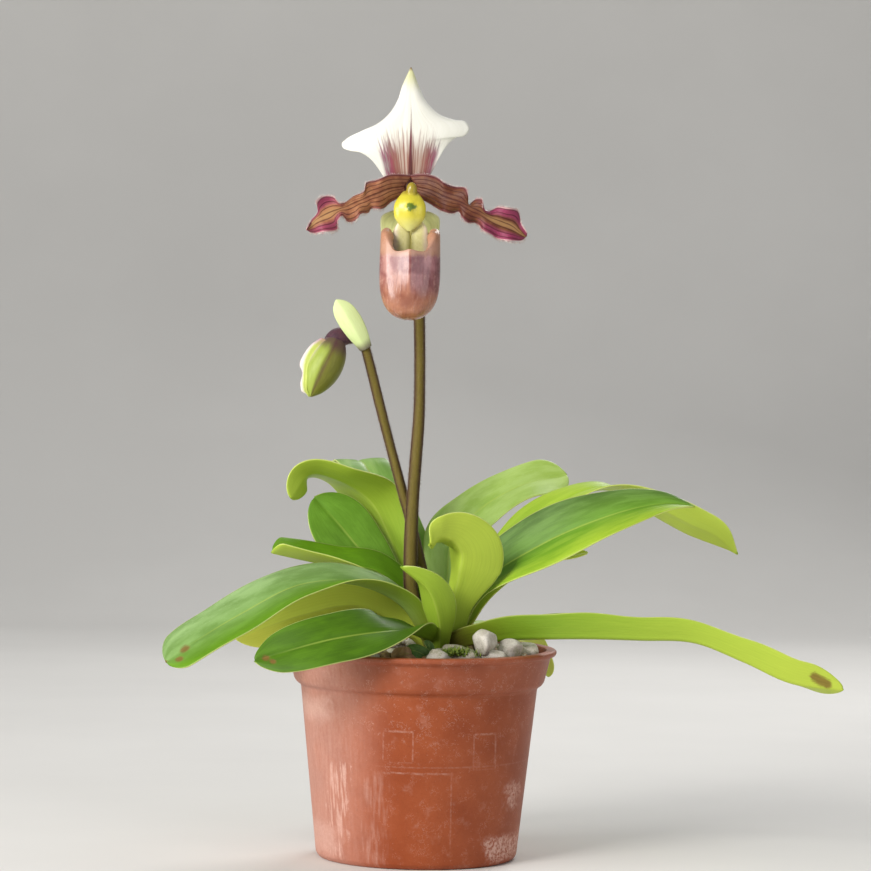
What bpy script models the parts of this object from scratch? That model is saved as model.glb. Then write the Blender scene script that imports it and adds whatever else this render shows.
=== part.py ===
"""A slipper orchid in a plastic pot: pot, potting mix, gravel, crown, leaves, two stems, flower and bud.

Run it with blender --background --python part.py, or from Blender's text editor. The origin is the middle
of the pot's flat base, +Z is up, +X runs along the long right-hand leaf and the flower looks along -Y.
All sizes and places below are in millimetres; MM turns them into Blender's metres.
"""
import math
import random

import bmesh
import bpy
import numpy as np

MM = 0.001
GAP = 0.3  # clearance between pieces that touch
STEM_GAP = 0.6  # where a stem meets its foot, whose ends aren't quite parallel
WELD = 1e-6  # metres; points this close are one

# The pot, a tapered plastic pot with a rim band and a thin flared lip
POT_HEIGHT = 69.0
LIP_RADIUS = 45.0
LIP_HEIGHT = 1.6
BAND_TOP_RADIUS = 43.0
BAND_BOTTOM_RADIUS = 40.9
BAND_HEIGHT = 12.0
BODY_TOP_RADIUS = 38.8
BASE_RADIUS = 33.0
CORNER = 1.6
SHOULDER = 1.0  # height of the slant under the rim band
WALL = 1.5
FLOOR = 1.8
FOOT_INNER_RADIUS = 27.5
CENTRE_DISC_RADIUS = 15.0
RECESS = 2.2
DRAIN_HOLES = 6
DRAIN_RADIUS = 3.2
POT_STEPS = 48
FILL_STEPS = 32

# What fills it
MIX_TOP = 60.0
GRAVEL_TOP = 67.0
GRAVEL_HOLLOW = 64.5  # the gravel is lower round the crown
HOLLOW_RADII = (14.0, 22.0)  # where the bed starts to rise and where it is level again
BED_RADIUS = 34.0  # how far the level bed reaches
GRAVEL_HOLE = 12.2  # radius of the hole that the sheaths stand in
STONE_SEED = 11
STONE_RINGS = ((9, 19.5), (13, 26.0), (17, 31.5), (20, 35.2))  # how many pebbles, at what radius
STONE_SIZE = (2.9, 3.7)
STONE_LIFT = (-0.2, 0.9)
STONE_SQUASH = (0.65, 0.95)
CROWN_CLEARANCE = 14.0  # no pebble lies nearer to the crown than this
BIG_STONES = (  # x, y, middle height and radius of the stones that show over the rim
    (21.0, -25.0, 72.6, 4.6), (29.5, -19.5, 70.2, 3.5), (14.6, -31.5, 68.4, 3.4), (-5.6, -31.0, 68.6, 3.5),
    (11.4, -25.0, 69.2, 3.4), (35.0, -8.0, 69.0, 3.3), (6.0, -32.5, 67.9, 3.4), (24.0, -27.0, 68.4, 3.0),
)

# The crown, the short rhizome that every leaf and stem grows from
CROWN_X = 6.5
CROWN_RADIUS = 7.5
CROWN_BOTTOM = 48.0
CROWN_TOP = 68.0
CROWN_STEPS = 16

# Thickness of the blades, and how finely they are divided
LEAF_THICKNESS = 1.0
SHEATH_THICKNESS = 1.8
PETAL_THICKNESS = 0.8
SHIELD_THICKNESS = 1.6
LEAF_ROW = 8.0  # length of one row of faces
FEWEST_ROWS = 9
SHEATH_ROWS = 3
LEAF_COLUMNS = 4

# Half widths along a blade, as shares of the blade's own half width
LEAF_OUTLINE = ((0, 0.45), (0.12, 0.5), (0.35, 0.85), (0.6, 1.0), (0.78, 0.97), (0.9, 0.82),
                (1, 0.3))
SLIM_OUTLINE = ((0, 0.4), (0.12, 0.42), (0.35, 0.72), (0.6, 1.0), (0.78, 1.0), (0.9, 0.85), (1, 0.3))
SQUARE_OUTLINE = ((0, 0.4), (0.12, 0.42), (0.35, 0.72), (0.6, 1.0), (0.8, 1.0), (0.93, 0.92), (1, 0.5))
TAPER_OUTLINE = ((0, 0.4), (0.12, 0.42), (0.35, 0.85), (0.52, 1.0), (0.64, 0.94), (0.76, 0.8), (0.87, 0.53), (1, 0.12))
LATE_OUTLINE = ((0, 0.45), (0.12, 0.5), (0.45, 0.95), (0.65, 1.0), (0.88, 0.88), (0.95, 0.62), (1, 0.2))
BLUNT_OUTLINE = ((0, 0.45), (0.12, 0.5), (0.35, 0.85), (0.6, 1.0), (0.8, 1.0), (0.93, 0.9), (1, 0.4))
WIDE_OUTLINE = ((0, 0.45), (0.15, 0.5), (0.3, 0.8), (0.45, 1.0), (0.7, 1.0), (0.88, 0.85), (1, 0.3))
ROUND_OUTLINE = ((0, 0.42), (0.2, 0.4), (0.45, 0.52), (0.62, 0.84), (0.76, 1.0), (0.88, 0.92),
                 (1, 0.35))
CURLED_OUTLINE = ((0, 0.42), (0.2, 0.42), (0.32, 0.5), (0.47, 0.9), (0.62, 1.0), (0.78, 0.9),
                  (0.9, 0.7), (1, 0.35))
YOUNG_OUTLINE = ((0, 0.45), (0.35, 0.6), (0.58, 1.0), (0.78, 0.85), (0.93, 0.5), (1, 0.15))
LONG_OUTLINE = ((0, 0.6), (0.1, 0.82), (0.25, 1.0), (0.6, 0.85), (0.72, 0.85), (0.85, 1.0),
                (0.95, 0.78), (1, 0.3))
TALL_OUTLINE = ((0, 0.42), (0.2, 0.4), (0.36, 0.45), (0.5, 0.68), (0.62, 1.0), (0.75, 1.0),
                (0.88, 0.72), (1, 0.25))
DORSAL_OUTLINE = ((0, 0.28), (0.135, 0.39), (0.257, 0.52), (0.363, 0.72), (0.455, 0.98), (0.51, 0.93),
                  (0.593, 0.58), (0.66, 0.38), (0.755, 0.235), (0.875, 0.125), (1, 0.03))
PETAL_OUTLINE = ((0, 0.55), (0.12, 0.93), (0.28, 1.0), (0.42, 0.85), (0.56, 0.5), (0.68, 0.82),
                 (0.82, 0.95), (0.93, 0.65), (1, 0.15))
CORDATE_OUTLINE = ((0, 0.8), (0.12, 0.97), (0.35, 0.98), (0.6, 0.8), (0.85, 0.42), (1, 0.06))
BRACT_OUTLINE = ((0, 0.55), (0.3, 1.0), (0.55, 0.92), (0.8, 0.5), (1, 0.06))
SHIELD_OUTLINE = ((0, 0.5), (0.2, 0.85), (0.5, 1.0), (0.8, 0.82), (1, 0.35))

# What a blade has when its own entry says nothing else
PLAIN_BLADE = dict(outline=LEAF_OUTLINE, wave=0.0, waves=4.0, skew=0.0, sweep=0.0)

# Each leaf: midrib route from the rhizome to the tip, the way its upper side looks at even steps along it,
# its width, the V fold and the margins' curl in degrees, and how long its sheath in the crown is.
LEAVES = {
    "leaf_long_left": dict(
        route=((5.0, -2.0, 62.5), (1.5, -6.5, 72.0), (-6.0, -11.5, 84.0), (-21.0, -17.0, 91.0),
               (-38.0, -22.0, 90.3), (-57.0, -27.0, 81.0), (-70.0, -30.0, 73.0), (-81.0, -32.0, 65.3)),
        faces=((0.6, 0.5, 0.3), (0.2, -0.1, 1.0), (-0.2, -0.5, 0.85), (-0.4, -0.6, 0.75)),
        width=22.0, outline=BLUNT_OUTLINE, fold=(45, 38, 16, 10, 10), curl=(0, -5, -10, -10),
        sheath=19.0),
    "leaf_under_left": dict(
        route=((4.5, -2.0, 62.5), (1.0, -3.5, 70.5), (-6.5, -4.5, 76.5), (-20.0, -6.0, 83.0),
               (-39.0, -7.0, 79.5), (-60.0, -8.0, 71.5)),
        faces=((0.5, 0.6, 0.4), (0.1, 0.8, 0.6), (0.0, 0.85, 0.5), (0.1, 0.8, 0.6)),
        width=19.0, outline=SLIM_OUTLINE, fold=(40, 15, 8, 5), curl=(0, 0, 0, 0), sheath=18.0),
    "leaf_front_left": dict(
        route=((6.0, -3.0, 62.5), (4.0, -9.0, 70.5), (-0.5, -20.0, 75.0), (-10.0, -37.0, 76.8),
               (-26.7, -46.5, 75.0), (-51.7, -50.5, 68.0)),
        faces=((0.2, 0.6, 0.5), (-0.1, -0.3, 0.9), (-0.1, -0.82, 0.55), (-0.2, -0.85, 0.5)),
        width=18.5, outline=WIDE_OUTLINE, fold=(50, 30, 10, 8), curl=(0, 0, -8, -8), sheath=20.0),
    "leaf_mid_left": dict(
        route=((5.0, 1.5, 62.5), (1.8, 4.0, 72.0), (-5.2, 4.5, 85.0), (-15.0, 2.0, 93.5),
               (-28.0, 0.0, 95.5), (-49.0, -3.0, 99.5)),
        faces=((0.5, -0.6, 0.4), (0.5, -0.85, 0.3), (0.1, -0.5, 0.8), (0.0, -0.2, 0.97),
               (0.0, -0.12, 0.98)),
        width=17.5, outline=SQUARE_OUTLINE, fold=(30, 12, 30, 38), curl=(0, 0, 0, 0), sheath=18.0),
    "leaf_round_left": dict(
        route=((5.0, 2.0, 62.5), (1.5, 6.5, 72.0), (-5.5, 9.0, 83.5), (-14.0, 11.0, 93.0),
               (-21.5, 12.0, 101.0), (-28.0, 12.5, 108.5), (-36.0, 13.5, 116.8)),
        faces=((0.2, -0.8, 0.4), (0.1, -0.95, 0.3), (0.1, -0.95, 0.3), (0.1, -0.95, 0.3),
               (0.0, -0.9, 0.45)),
        width=20.5, outline=ROUND_OUTLINE, fold=(22, 10, 8, 8), curl=(0, 0, -5, -5), sheath=20.0),
    "leaf_curled_left": dict(
        route=((5.5, 3.0, 62.5), (3.0, 10.5, 72.0), (-3.0, 15.5, 86.0), (-10.0, 17.5, 103.0),
               (-17.5, 16.0, 116.5), (-27.0, 11.0, 123.0), (-38.0, 5.5, 125.0), (-43.5, 2.0, 117.0)),
        faces=((0.3, 0.6, 0.4), (0.5, 0.75, 0.3), (0.4, 0.85, 0.3), (0.2, 0.85, 0.4), (0.1, 0.35, 0.95),
               (-0.5, 0.8, 0.3)),
        width=21.0, outline=CURLED_OUTLINE, fold=(12, 6, 5, 5), curl=(0, 0, 10, 5), sheath=20.0),
    "leaf_back_left": dict(
        route=((6.0, 4.0, 62.5), (5.5, 15.0, 73.0), (-3.5, 26.5, 96.0), (-14.0, 32.0, 117.0),
               (-20.5, 40.0, 127.5), (-24.0, 52.0, 126.5), (-26.0, 62.0, 115.0)),
        faces=((0.2, -0.6, 0.2), (0.3, -0.8, 0.5), (0.1, -0.7, 0.7), (0.0, -0.2, 1.0), (-0.2, 0.6, 0.8)),
        width=18.0, fold=(30, 15, 10, 8), curl=(0, 0, -10, -10), sheath=21.0),
    "leaf_young_front": dict(
        route=((6.0, -3.5, 62.5), (6.5, -11.0, 70.0), (6.2, -18.2, 80.0), (2.2, -23.6, 90.5),
               (-6.2, -25.5, 97.0)),
        faces=((0.1, 0.9, 0.4), (0.1, 0.9, 0.4), (0.2, 0.7, 0.6), (0.2, 0.5, 0.8)),
        width=13.0, outline=YOUNG_OUTLINE, fold=(40, 28, 25, 20), curl=(0, 0, 10, 10), sheath=20.5),
    "leaf_centre": dict(
        route=((8.5, -3.0, 62.5), (9.6, -7.5, 72.0), (11.0, -11.5, 84.5), (12.8, -15.5, 94.5),
               (13.2, -19.0, 101.8), (10.0, -21.5, 105.8), (5.8, -24.0, 106.6), (2.8, -26.5, 104.5)),
        faces=((-0.1, 0.9, 0.4), (0.3, 0.9, 0.3), (0.58, 0.8, 0.1), (0.4, 0.8, 0.3), (0.2, 0.7, 0.7)),
        width=26.5, outline=TALL_OUTLINE, fold=(35, 34, 36, 15), curl=(0, 5, 10, 10), sheath=17.0),
    "leaf_back_right": dict(
        route=((8.0, 4.0, 62.5), (9.6, 12.6, 72.0), (8.6, 18.6, 91.0), (10.2, 21.0, 104.0),
               (19.4, 26.0, 113.4), (33.2, 31.5, 121.4), (48.4, 38.0, 125.0)),
        faces=((0.1, -0.7, 0.3), (0.3, -0.8, 0.3), (0.1, -0.6, 0.7), (-0.1, -0.5, 0.85),
               (-0.3, -0.85, 0.6)),
        width=19.6, outline=BLUNT_OUTLINE, fold=(30, 15, 12, 10), curl=(0, 0, -8, -8),
        sheath=18.5),
    "leaf_big_right": dict(
        route=((9.0, 0.0, 62.5), (12.5, 0.5, 72.0), (20.0, -2.5, 89.5), (38.0, -8.5, 103.2),
               (57.0, -10.5, 112.3), (71.0, -9.0, 116.7), (80.0, -7.5, 118.0), (88.8, -6.0, 117.3)),
        faces=((-0.6, -0.2, 0.5), (-0.4, -0.6, 0.8), (-0.3, -0.75, 0.6), (-0.2, -0.7, 0.7), (-0.1, -0.6, 0.8)),
        width=23.5, outline=TAPER_OUTLINE, fold=(35, 18, 15, 15), curl=(0, 0, -5, 0), sheath=18.0),
    "leaf_behind_right": dict(
        route=((9.0, 3.0, 62.5), (13.5, 8.0, 72.5), (21.5, 12.5, 91.0), (37.0, 15.5, 110.0),
               (60.5, 17.0, 121.8), (78.9, 18.0, 115.8), (90.3, 19.0, 110.4), (98.0, 19.0, 107.0), (105.4, 19.0, 100.6)),
        faces=((-0.5, -0.4, 0.5), (-0.4, -0.6, 0.7), (-0.3, -0.65, 0.75), (0.0, -0.1, 1.0), (0.25, 0.6, 0.75),
               (0.4, 0.75, 0.55)),
        width=16.0, outline=LATE_OUTLINE, fold=(30, 15, 8, 8), curl=(0, 0, 0, 0), sheath=18.0),
    "leaf_long_right": dict(
        route=((9.5, -3.5, 62.5), (13.5, -8.5, 70.0), (23.0, -12.5, 72.9), (45.5, -14.5, 74.6),
               (71.4, -16.0, 74.7), (89.0, -17.0, 74.2), (104.7, -19.0, 68.5), (120.0, -20.5, 62.0),
               (137.0, -22.0, 59.8)),
        faces=((-0.3, 0.2, 0.8), (0.0, 0.1, 1.0), (0.0, 0.15, 1.0), (0.0, 0.3, 1.0), (0.2, 0.8, 0.6)),
        width=18.0, outline=LONG_OUTLINE, fold=(40, 58, 62, 48, 18), curl=(0, 5, 8, 0), sheath=15.0),
    "leaf_over_back": dict(
        route=((8.0, 3.5, 62.5), (11.5, 11.0, 70.5), (18.5, 21.0, 72.8), (28.5, 36.0, 72.8),
               (37.5, 50.0, 66.5), (44.3, 57.0, 55.0)),
        faces=((-0.3, -0.5, 0.6), (-0.1, -0.3, 1.0), (0.1, 0.1, 1.0), (0.5, 0.4, 0.8)),
        width=15.0, fold=(40, 20, 12, 10), curl=(0, 0, -8, -8), sheath=17.0),
    "leaf_short_right": dict(
        route=((9.0, 1.5, 62.5), (13.5, 3.5, 72.0), (24.0, 3.1, 88.8), (38.0, 3.6, 97.5),
               (54.5, 4.4, 100.8)),
        faces=((-0.5, -0.3, 0.5), (-0.3, -0.5, 0.8), (-0.2, -0.4, 0.9), (-0.1, -0.4, 0.9)),
        width=8.5, fold=(30, 15, 12, 10), curl=(0, 0, 0, 0), sheath=18.0),
}

# Each stem: its middle line, its radius at even steps, and how long its foot in the crown is
STEMS = {
    "flower_stem": dict(
        route=((5.0, -0.5, 63.0), (2.0, -0.5, 72.0), (-3.2, -0.5, 88.0), (-3.6, 0.0, 98.0),
               (-3.4, 2.0, 114.0), (-2.6, 5.5, 130.0), (-1.8, 9.0, 144.7), (-1.8, 12.5, 159.0),
               (-2.3, 17.5, 178.0), (-2.8, 20.5, 191.0)),
        radii=(2.3, 2.3, 2.1, 1.9, 1.8, 1.8), foot=24.0),
    "bud_stem": dict(
        route=((7.5, 2.0, 63.0), (5.5, 3.5, 75.0), (1.2, 4.5, 90.0), (-2.4, 5.5, 104.4),
               (-6.8, 7.0, 119.6), (-9.4, 7.5, 128.7), (-12.0, 7.8, 137.9), (-15.3, 7.5, 150.1),
               (-18.6, 7.2, 162.5), (-20.0, 7.0, 167.3)),
        radii=(1.8, 1.8, 1.6, 1.6, 1.6), foot=24.0),
}
STEM_POINTS = 16
FOOT_EXTRA = 0.5  # how much wider a stem's foot is

# The flower
FLOWER = (-6.0, 7.0, 214.0)  # the receptacle, where every floral part is attached
POUCH_X = -5.6
POUCH_Y = -4.6
POUCH_HALF_WIDTH = 9.8
POUCH_HALF_DEPTH = 8.0
POUCH_RIM = 198.6  # height of the rim in front
POUCH_EARS = 5.0  # how much higher the rim is at the sides
POUCH_CLAW = 12.2  # and at the back, where a narrow claw reaches the receptacle
POUCH_TOE = 176.1
POUCH_FORWARD = 3.6  # how far the toe lies in front of the rim
POUCH_ROWS = 9
POUCH_COLUMNS = 18
OVARY_ROUTE = ((-2.8, 20.6, 191.4), (-3.2, 20.8, 199.0), (-4.4, 17.5, 207.5), (-5.6, 12.5, 212.3),
               (-6.0, 5.5, 214.0))
OVARY_RADII = (1.7, 2.1, 2.5, 2.5, 2.9, 3.4)
COLUMN_ROUTE = ((0.0, -2.0, 0.0), (0.0, -6.0, 0.6), (0.0, -11.0, -0.5))  # from the receptacle
COLUMN_RADII = (2.4, 2.2, 2.6)
SHIELD = dict(  # its route is from the receptacle too
    route=((0.0, -9.5, 4.2), (0.0, -12.2, 0.5), (0.0, -12.6, -4.5), (0.0, -11.2, -8.4)),
    faces=((0, -1, 0.5), (0, -1, 0), (0, -1, -0.3)), width=11.0, outline=SHIELD_OUTLINE, fold=(-8, -8),
    curl=(-25, -25))

# Sepals, petals and bracts, with the same entries as a leaf
FLORAL = {
    "dorsal_sepal": dict(
        route=((-6.0, 8.2, 217.5), (-6.3, 6.4, 226.0), (-7.2, 3.2, 239.0), (-6.5, -0.5, 259.0)),
        faces=((0, -1, 0.1), (0, -1, 0), (0, -1, -0.1)), width=43.4, outline=DORSAL_OUTLINE,
        fold=(12, 10, 6, 25), curl=(-25, -35, -10, 0), skew=0.14),
    "petal_left": dict(
        route=((-8.8, 4.8, 220.0), (-12.7, 2.5, 219.3), (-17.5, 0.0, 217.2), (-22.4, -1.2, 215.1),
               (-26.9, -2.0, 213.0), (-31.4, -2.5, 210.9), (-36.0, -2.0, 208.7), (-39.9, -1.0, 205.1)),
        faces=((-0.1, -1, 0.2), (-0.1, -1, 0.2), (-0.1, -0.8, 0.6), (-0.2, -1, 0.3)), width=10.4,
        outline=PETAL_OUTLINE, fold=(5, 5, 5, 5), curl=(-30, -20, -10, 0), wave=0.34, waves=4.2),
    "petal_right": dict(
        route=((-3.2, 4.8, 220.0), (0.6, 2.5, 219.0), (5.4, 0.0, 216.8), (11.0, -1.2, 214.9),
               (16.3, -2.0, 212.5), (21.6, -2.3, 209.7), (26.8, -1.8, 207.7), (32.4, -1.0, 204.0)),
        faces=((0.1, -1, 0.2), (0.1, -1, 0.2), (0.1, -0.8, 0.6), (0.2, -1, 0.3)), width=10.4,
        outline=PETAL_OUTLINE, fold=(5, 5, 5, 5), curl=(-30, -20, -10, 0), wave=0.34, waves=4.2),
    "synsepal": dict(
        route=((-5.9, 9.2, 209.5), (-5.9, 9.8, 204.0), (-5.9, 10.8, 196.0), (-6.0, 11.0, 186.5)),
        faces=((0, -1, -0.1),
               (0, -1, 0)), width=20.0, outline=CORDATE_OUTLINE, fold=(10, 10, 10), curl=(0, 0, 0),
        sweep=0.5),
    "flower_bract": dict(
        route=((-2.6, 23.6, 190.0), (-2.4, 26.6, 197.0), (-2.2, 28.0, 204.0), (-2.0, 27.5, 213.0)),
        faces=((0, -1, 0.3), (0, -1, 0), (0, -1, -0.2)), width=13.0, outline=BRACT_OUTLINE,
        fold=(28, 30, 25), curl=(20, 15, 0)),
    "bud_bract": dict(
        route=((-19.7, 4.6, 166.4), (-22.4, 2.6, 171.1), (-25.9, 2.0, 176.9), (-29.7, 3.0, 182.5)),
        faces=((0.1, 1, 0.2), (0.1, 1, 0), (0.1, 1, -0.2)), width=7.9, outline=BRACT_OUTLINE,
        fold=(20, 20, 15), curl=(15, 10, 0)),
}
FLORAL_LOOKS = {  # colour, rows and columns of faces
    "dorsal_sepal": ((0.8, 0.8, 0.7), 16, 6), "petal_left": ((0.3, 0.09, 0.09), 16, 4),
    "petal_right": ((0.3, 0.09, 0.09), 16, 4), "synsepal": ((0.5, 0.62, 0.2), 8, 4),
    "flower_bract": ((0.45, 0.55, 0.15), 8, 4), "bud_bract": ((0.55, 0.68, 0.25), 8, 4),
}

# The bud, which nods on its short dark neck
NECK_ROUTE = ((-20.5, 7.2, 168.1), (-22.6, 7.6, 171.6), (-26.0, 7.6, 173.2), (-28.4, 6.9, 170.9))
NECK_RADII = (1.6, 1.9, 2.0, 2.1)
BUD_ROUTE = ((-28.7, 6.6, 170.4), (-31.1, 5.8, 165.3), (-33.5, 5.0, 160.3), (-35.7, 4.0, 155.3),
             (-37.6, 3.0, 150.4))
BUD_RADII = (2.3, 4.9, 6.0, 5.8, 4.2, 1.1)


def clear_scene():
    for old in list(bpy.data.objects):
        bpy.data.objects.remove(old, do_unlink=True)


def new_collection(name):
    made = bpy.data.collections.new(name)
    bpy.context.scene.collection.children.link(made)
    return made


def matte(name, colour, roughness):
    """A Principled material of one colour."""
    made = bpy.data.materials.new(name)
    made.use_nodes = True
    shader = made.node_tree.nodes["Principled BSDF"]
    shader.inputs["Base Color"].default_value = (*colour, 1.0)
    shader.inputs["Roughness"].default_value = roughness
    shader.inputs["Metallic"].default_value = 0.0
    made.diffuse_color = (*colour, 1.0)
    return made


def add_object(name, data, collection, finish=None):
    made = bpy.data.objects.new(name, data)
    collection.objects.link(made)
    if finish is not None:
        data.materials.append(finish)
    return made


def hermite(knots, values, t):
    """Cubic curve through values at knots, its slopes taken from the neighbouring knots, read at t."""
    knots = np.asarray(knots, float)
    values = np.asarray(values, float)
    slopes = np.gradient(values, knots, axis=0)
    i = np.clip(np.searchsorted(knots, t, side="right") - 1, 0, len(knots) - 2)
    step = knots[i + 1] - knots[i]
    u = (t - knots[i]) / step
    if values.ndim > 1:
        step = step[:, None]
        u = u[:, None]
    first = (2 * u**3 - 3 * u**2 + 1) * values[i] + (u**3 - 2 * u**2 + u) * step * slopes[i]
    return first + (3 * u**2 - 2 * u**3) * values[i + 1] + (u**3 - u**2) * step * slopes[i + 1]


def even(values, t):
    """Values given at even steps from 0 to 1, read at t."""
    return hermite(np.linspace(0, 1, len(values)), values, t)


def unit(v):
    return v / np.linalg.norm(v, axis=-1, keepdims=True)


def leg_lengths(route):
    return np.linalg.norm(np.diff(np.asarray(route, float), axis=0), axis=1)


def route_knots(route):
    """The share of a route's length that lies before each of its points."""
    legs = leg_lengths(route)
    return np.concatenate([[0], np.cumsum(legs)]) / legs.sum()


def along_route(route, t):
    return hermite(route_knots(route), route, t)


def blade_grid(spec, rows, columns, start=0.0, end=1.0):
    """Points of a leaf-like sheet, rows along its midrib and columns from one margin to the other.

    The midrib follows the route and the upper side looks along the faces. Each half leaves the midrib at
    the fold angle and bends on by the curl angle towards its margin, so its arc length stays the half width.
    Rows lie closer together towards the tip. A wave lifts the margins in turns, a skew carries one margin
    up and the other down the route, and a sweep draws both back.
    """
    spec = {**PLAIN_BLADE, **spec}
    towards_tip = 1.3
    t = start + (end - start) * (1 - (1 - np.linspace(0, 1, rows + 1)) ** towards_tip)
    centre = along_route(spec["route"], t)
    step = 0.004
    before = along_route(spec["route"], np.maximum(t - step, 0))
    tangent = unit(along_route(spec["route"], np.minimum(t + step, 1)) - before)
    face = even(spec["faces"], t)
    face = unit(face - (face * tangent).sum(1)[:, None] * tangent)
    side = np.cross(tangent, face)
    half = spec["width"] / 2 * hermite(*zip(*spec["outline"]), t)[:, None, None]
    s = np.linspace(-1, 1, columns + 1)[None, :]
    first = np.radians(even(spec["fold"], t))[:, None]
    bend = np.radians(even(spec["curl"], t))[:, None]
    bend = np.where(np.abs(bend) < 1e-3, 1e-3, bend)
    across = (np.sin(first + bend * np.abs(s)) - np.sin(first)) / bend * np.sign(s)
    lift = (np.cos(first) - np.cos(first + bend * np.abs(s))) / bend
    lag = 1.3 * np.sign(s)  # the two margins don't wave together
    ripple = spec["wave"] * s**2 * np.sin(2 * math.pi * spec["waves"] * t[:, None] + lag)
    along = (spec["skew"] * s - spec["sweep"] * s**2)[..., None]
    raised = face[:, None] * (lift + ripple)[..., None]
    return centre[:, None] + half * (side[:, None] * across[..., None] + raised + tangent[:, None] * along)


def grid_mesh(name, grid, wrap=False, pole=None):
    """A sheet of triangles over a grid of points; wrap joins its last column to its first."""
    rows, columns = grid.shape[:2]
    points = [tuple(p) for p in grid.reshape(-1, 3) * MM]
    faces = []
    for r in range(rows - 1):
        for c in range(columns if wrap else columns - 1):
            a = r * columns + c
            b = r * columns + (c + 1) % columns
            faces += [(a, b, b + columns), (a, b + columns, a + columns)]
    if pole is not None:
        points.append(tuple(np.asarray(pole) * MM))
        last = (rows - 1) * columns
        faces += [(last + c, last + (c + 1) % columns, len(points) - 1) for c in range(columns)]
    mesh = bpy.data.meshes.new(name)
    mesh.from_pydata(points, [], faces)
    return mesh


def smooth(mesh, sharp_from=50):
    mesh.shade_smooth()
    mesh.set_sharp_from_angle(angle=math.radians(sharp_from))


def sheet(name, mesh, collection, finish, thickness):
    """A sheet made solid: half of its thickness lies on either side."""
    smooth(mesh)
    made = add_object(name, mesh, collection, finish)
    solid = made.modifiers.new("Thickness", "SOLIDIFY")
    solid.thickness = thickness * MM
    solid.offset = 0.0
    return made


def blade(name, spec, collection, finish, thickness, rows, columns, start=0.0, end=1.0):
    """A solid leaf, sheath, petal, sepal or bract from its entry."""
    mesh = grid_mesh(name, blade_grid(spec, rows, columns, start, end))
    return sheet(name, mesh, collection, finish, thickness)


def turned(name, profile, collection, finish, steps):
    """A profile of (radius, height) points turned round Z; its outer side runs from top to bottom."""
    mesh = bpy.data.meshes.new(name)
    points = [(r * MM, 0.0, z * MM) for r, z in profile]
    mesh.from_pydata(points, [(i, i + 1) for i in range(len(points) - 1)], [])
    made = add_object(name, mesh, collection, finish)
    screw = made.modifiers.new("Turn", "SCREW")
    screw.steps = steps
    screw.render_steps = steps
    screw.use_merge_vertices = True
    screw.merge_threshold = 1e-5
    screw.use_smooth_shade = False
    return made


def tube(name, points, radii, collection, finish=None, sides_level=2, count=STEM_POINTS):
    """A round stem along points, its radius running through radii at even steps."""
    t = np.linspace(0, 1, count)
    curve = bpy.data.curves.new(name, "CURVE")
    curve.dimensions = "3D"
    curve.bevel_depth = MM
    curve.bevel_resolution = sides_level
    curve.use_fill_caps = True
    spline = curve.splines.new("POLY")
    spline.points.add(count - 1)
    for point, place, radius in zip(spline.points, along_route(points, t), even(radii, t)):
        point.co = (*(place * MM), 1.0)
        point.radius = radius
    return add_object(name, curve, collection, finish)


def as_mesh(obj, collection):
    """A curve or modified object made a plain closed mesh object of the same name and material."""
    name = obj.name
    finish = obj.data.materials[0] if obj.data.materials else None
    graph = bpy.context.evaluated_depsgraph_get()
    mesh = bpy.data.meshes.new_from_object(obj.evaluated_get(graph))
    work = bmesh.new()
    work.from_mesh(mesh)
    bmesh.ops.remove_doubles(work, verts=work.verts, dist=WELD)
    bmesh.ops.triangulate(work, faces=work.faces)
    work.to_mesh(mesh)
    work.free()
    mesh.polygons.foreach_set("material_index", [0] * len(mesh.polygons))
    mesh.materials.clear()
    place = obj.matrix_world.copy()
    bpy.data.objects.remove(obj, do_unlink=True)
    made = add_object(name, mesh, collection, finish)
    made.name = name
    made.matrix_world = place
    return made


def fused(obj, extras, collection):
    """The object and a collection of extras joined into one solid by one union; the extras are removed."""
    union = obj.modifiers.new("Fuse", "BOOLEAN")
    union.operation = "UNION"
    union.solver = "MANIFOLD"
    union.operand_type = "COLLECTION"
    union.collection = extras
    bpy.context.view_layer.update()
    made = as_mesh(obj, collection)
    for extra in list(extras.objects):
        bpy.data.objects.remove(extra, do_unlink=True)
    bpy.data.collections.remove(extras)
    return made


def cylinder(name, radius, bottom, top, x, y, collection, sides=24):
    mesh = bpy.data.meshes.new(name)
    work = bmesh.new()
    bmesh.ops.create_cone(work, cap_ends=True, segments=sides, radius1=radius * MM,
                          radius2=radius * MM, depth=(top - bottom) * MM)
    work.to_mesh(mesh)
    work.free()
    made = add_object(name, mesh, collection)
    made.location = (x * MM, y * MM, (top + bottom) / 2 * MM)
    return made


def cut(obj, cutter):
    cutter.hide_render = True
    cutter.display_type = "WIRE"
    difference = obj.modifiers.new("Cut " + cutter.name, "BOOLEAN")
    difference.operation = "DIFFERENCE"
    difference.object = cutter


def body_inside(z):
    """The pot's inside radius at a height below the rim band."""
    return np.interp(z, (0, POT_HEIGHT - BAND_HEIGHT), (BASE_RADIUS, BODY_TOP_RADIUS)) - WALL


def band_inside(z):
    """The pot's inside radius at a height in the rim band."""
    return np.interp(z, (POT_HEIGHT - BAND_HEIGHT, POT_HEIGHT), (BAND_BOTTOM_RADIUS, BAND_TOP_RADIUS)) - WALL


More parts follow.
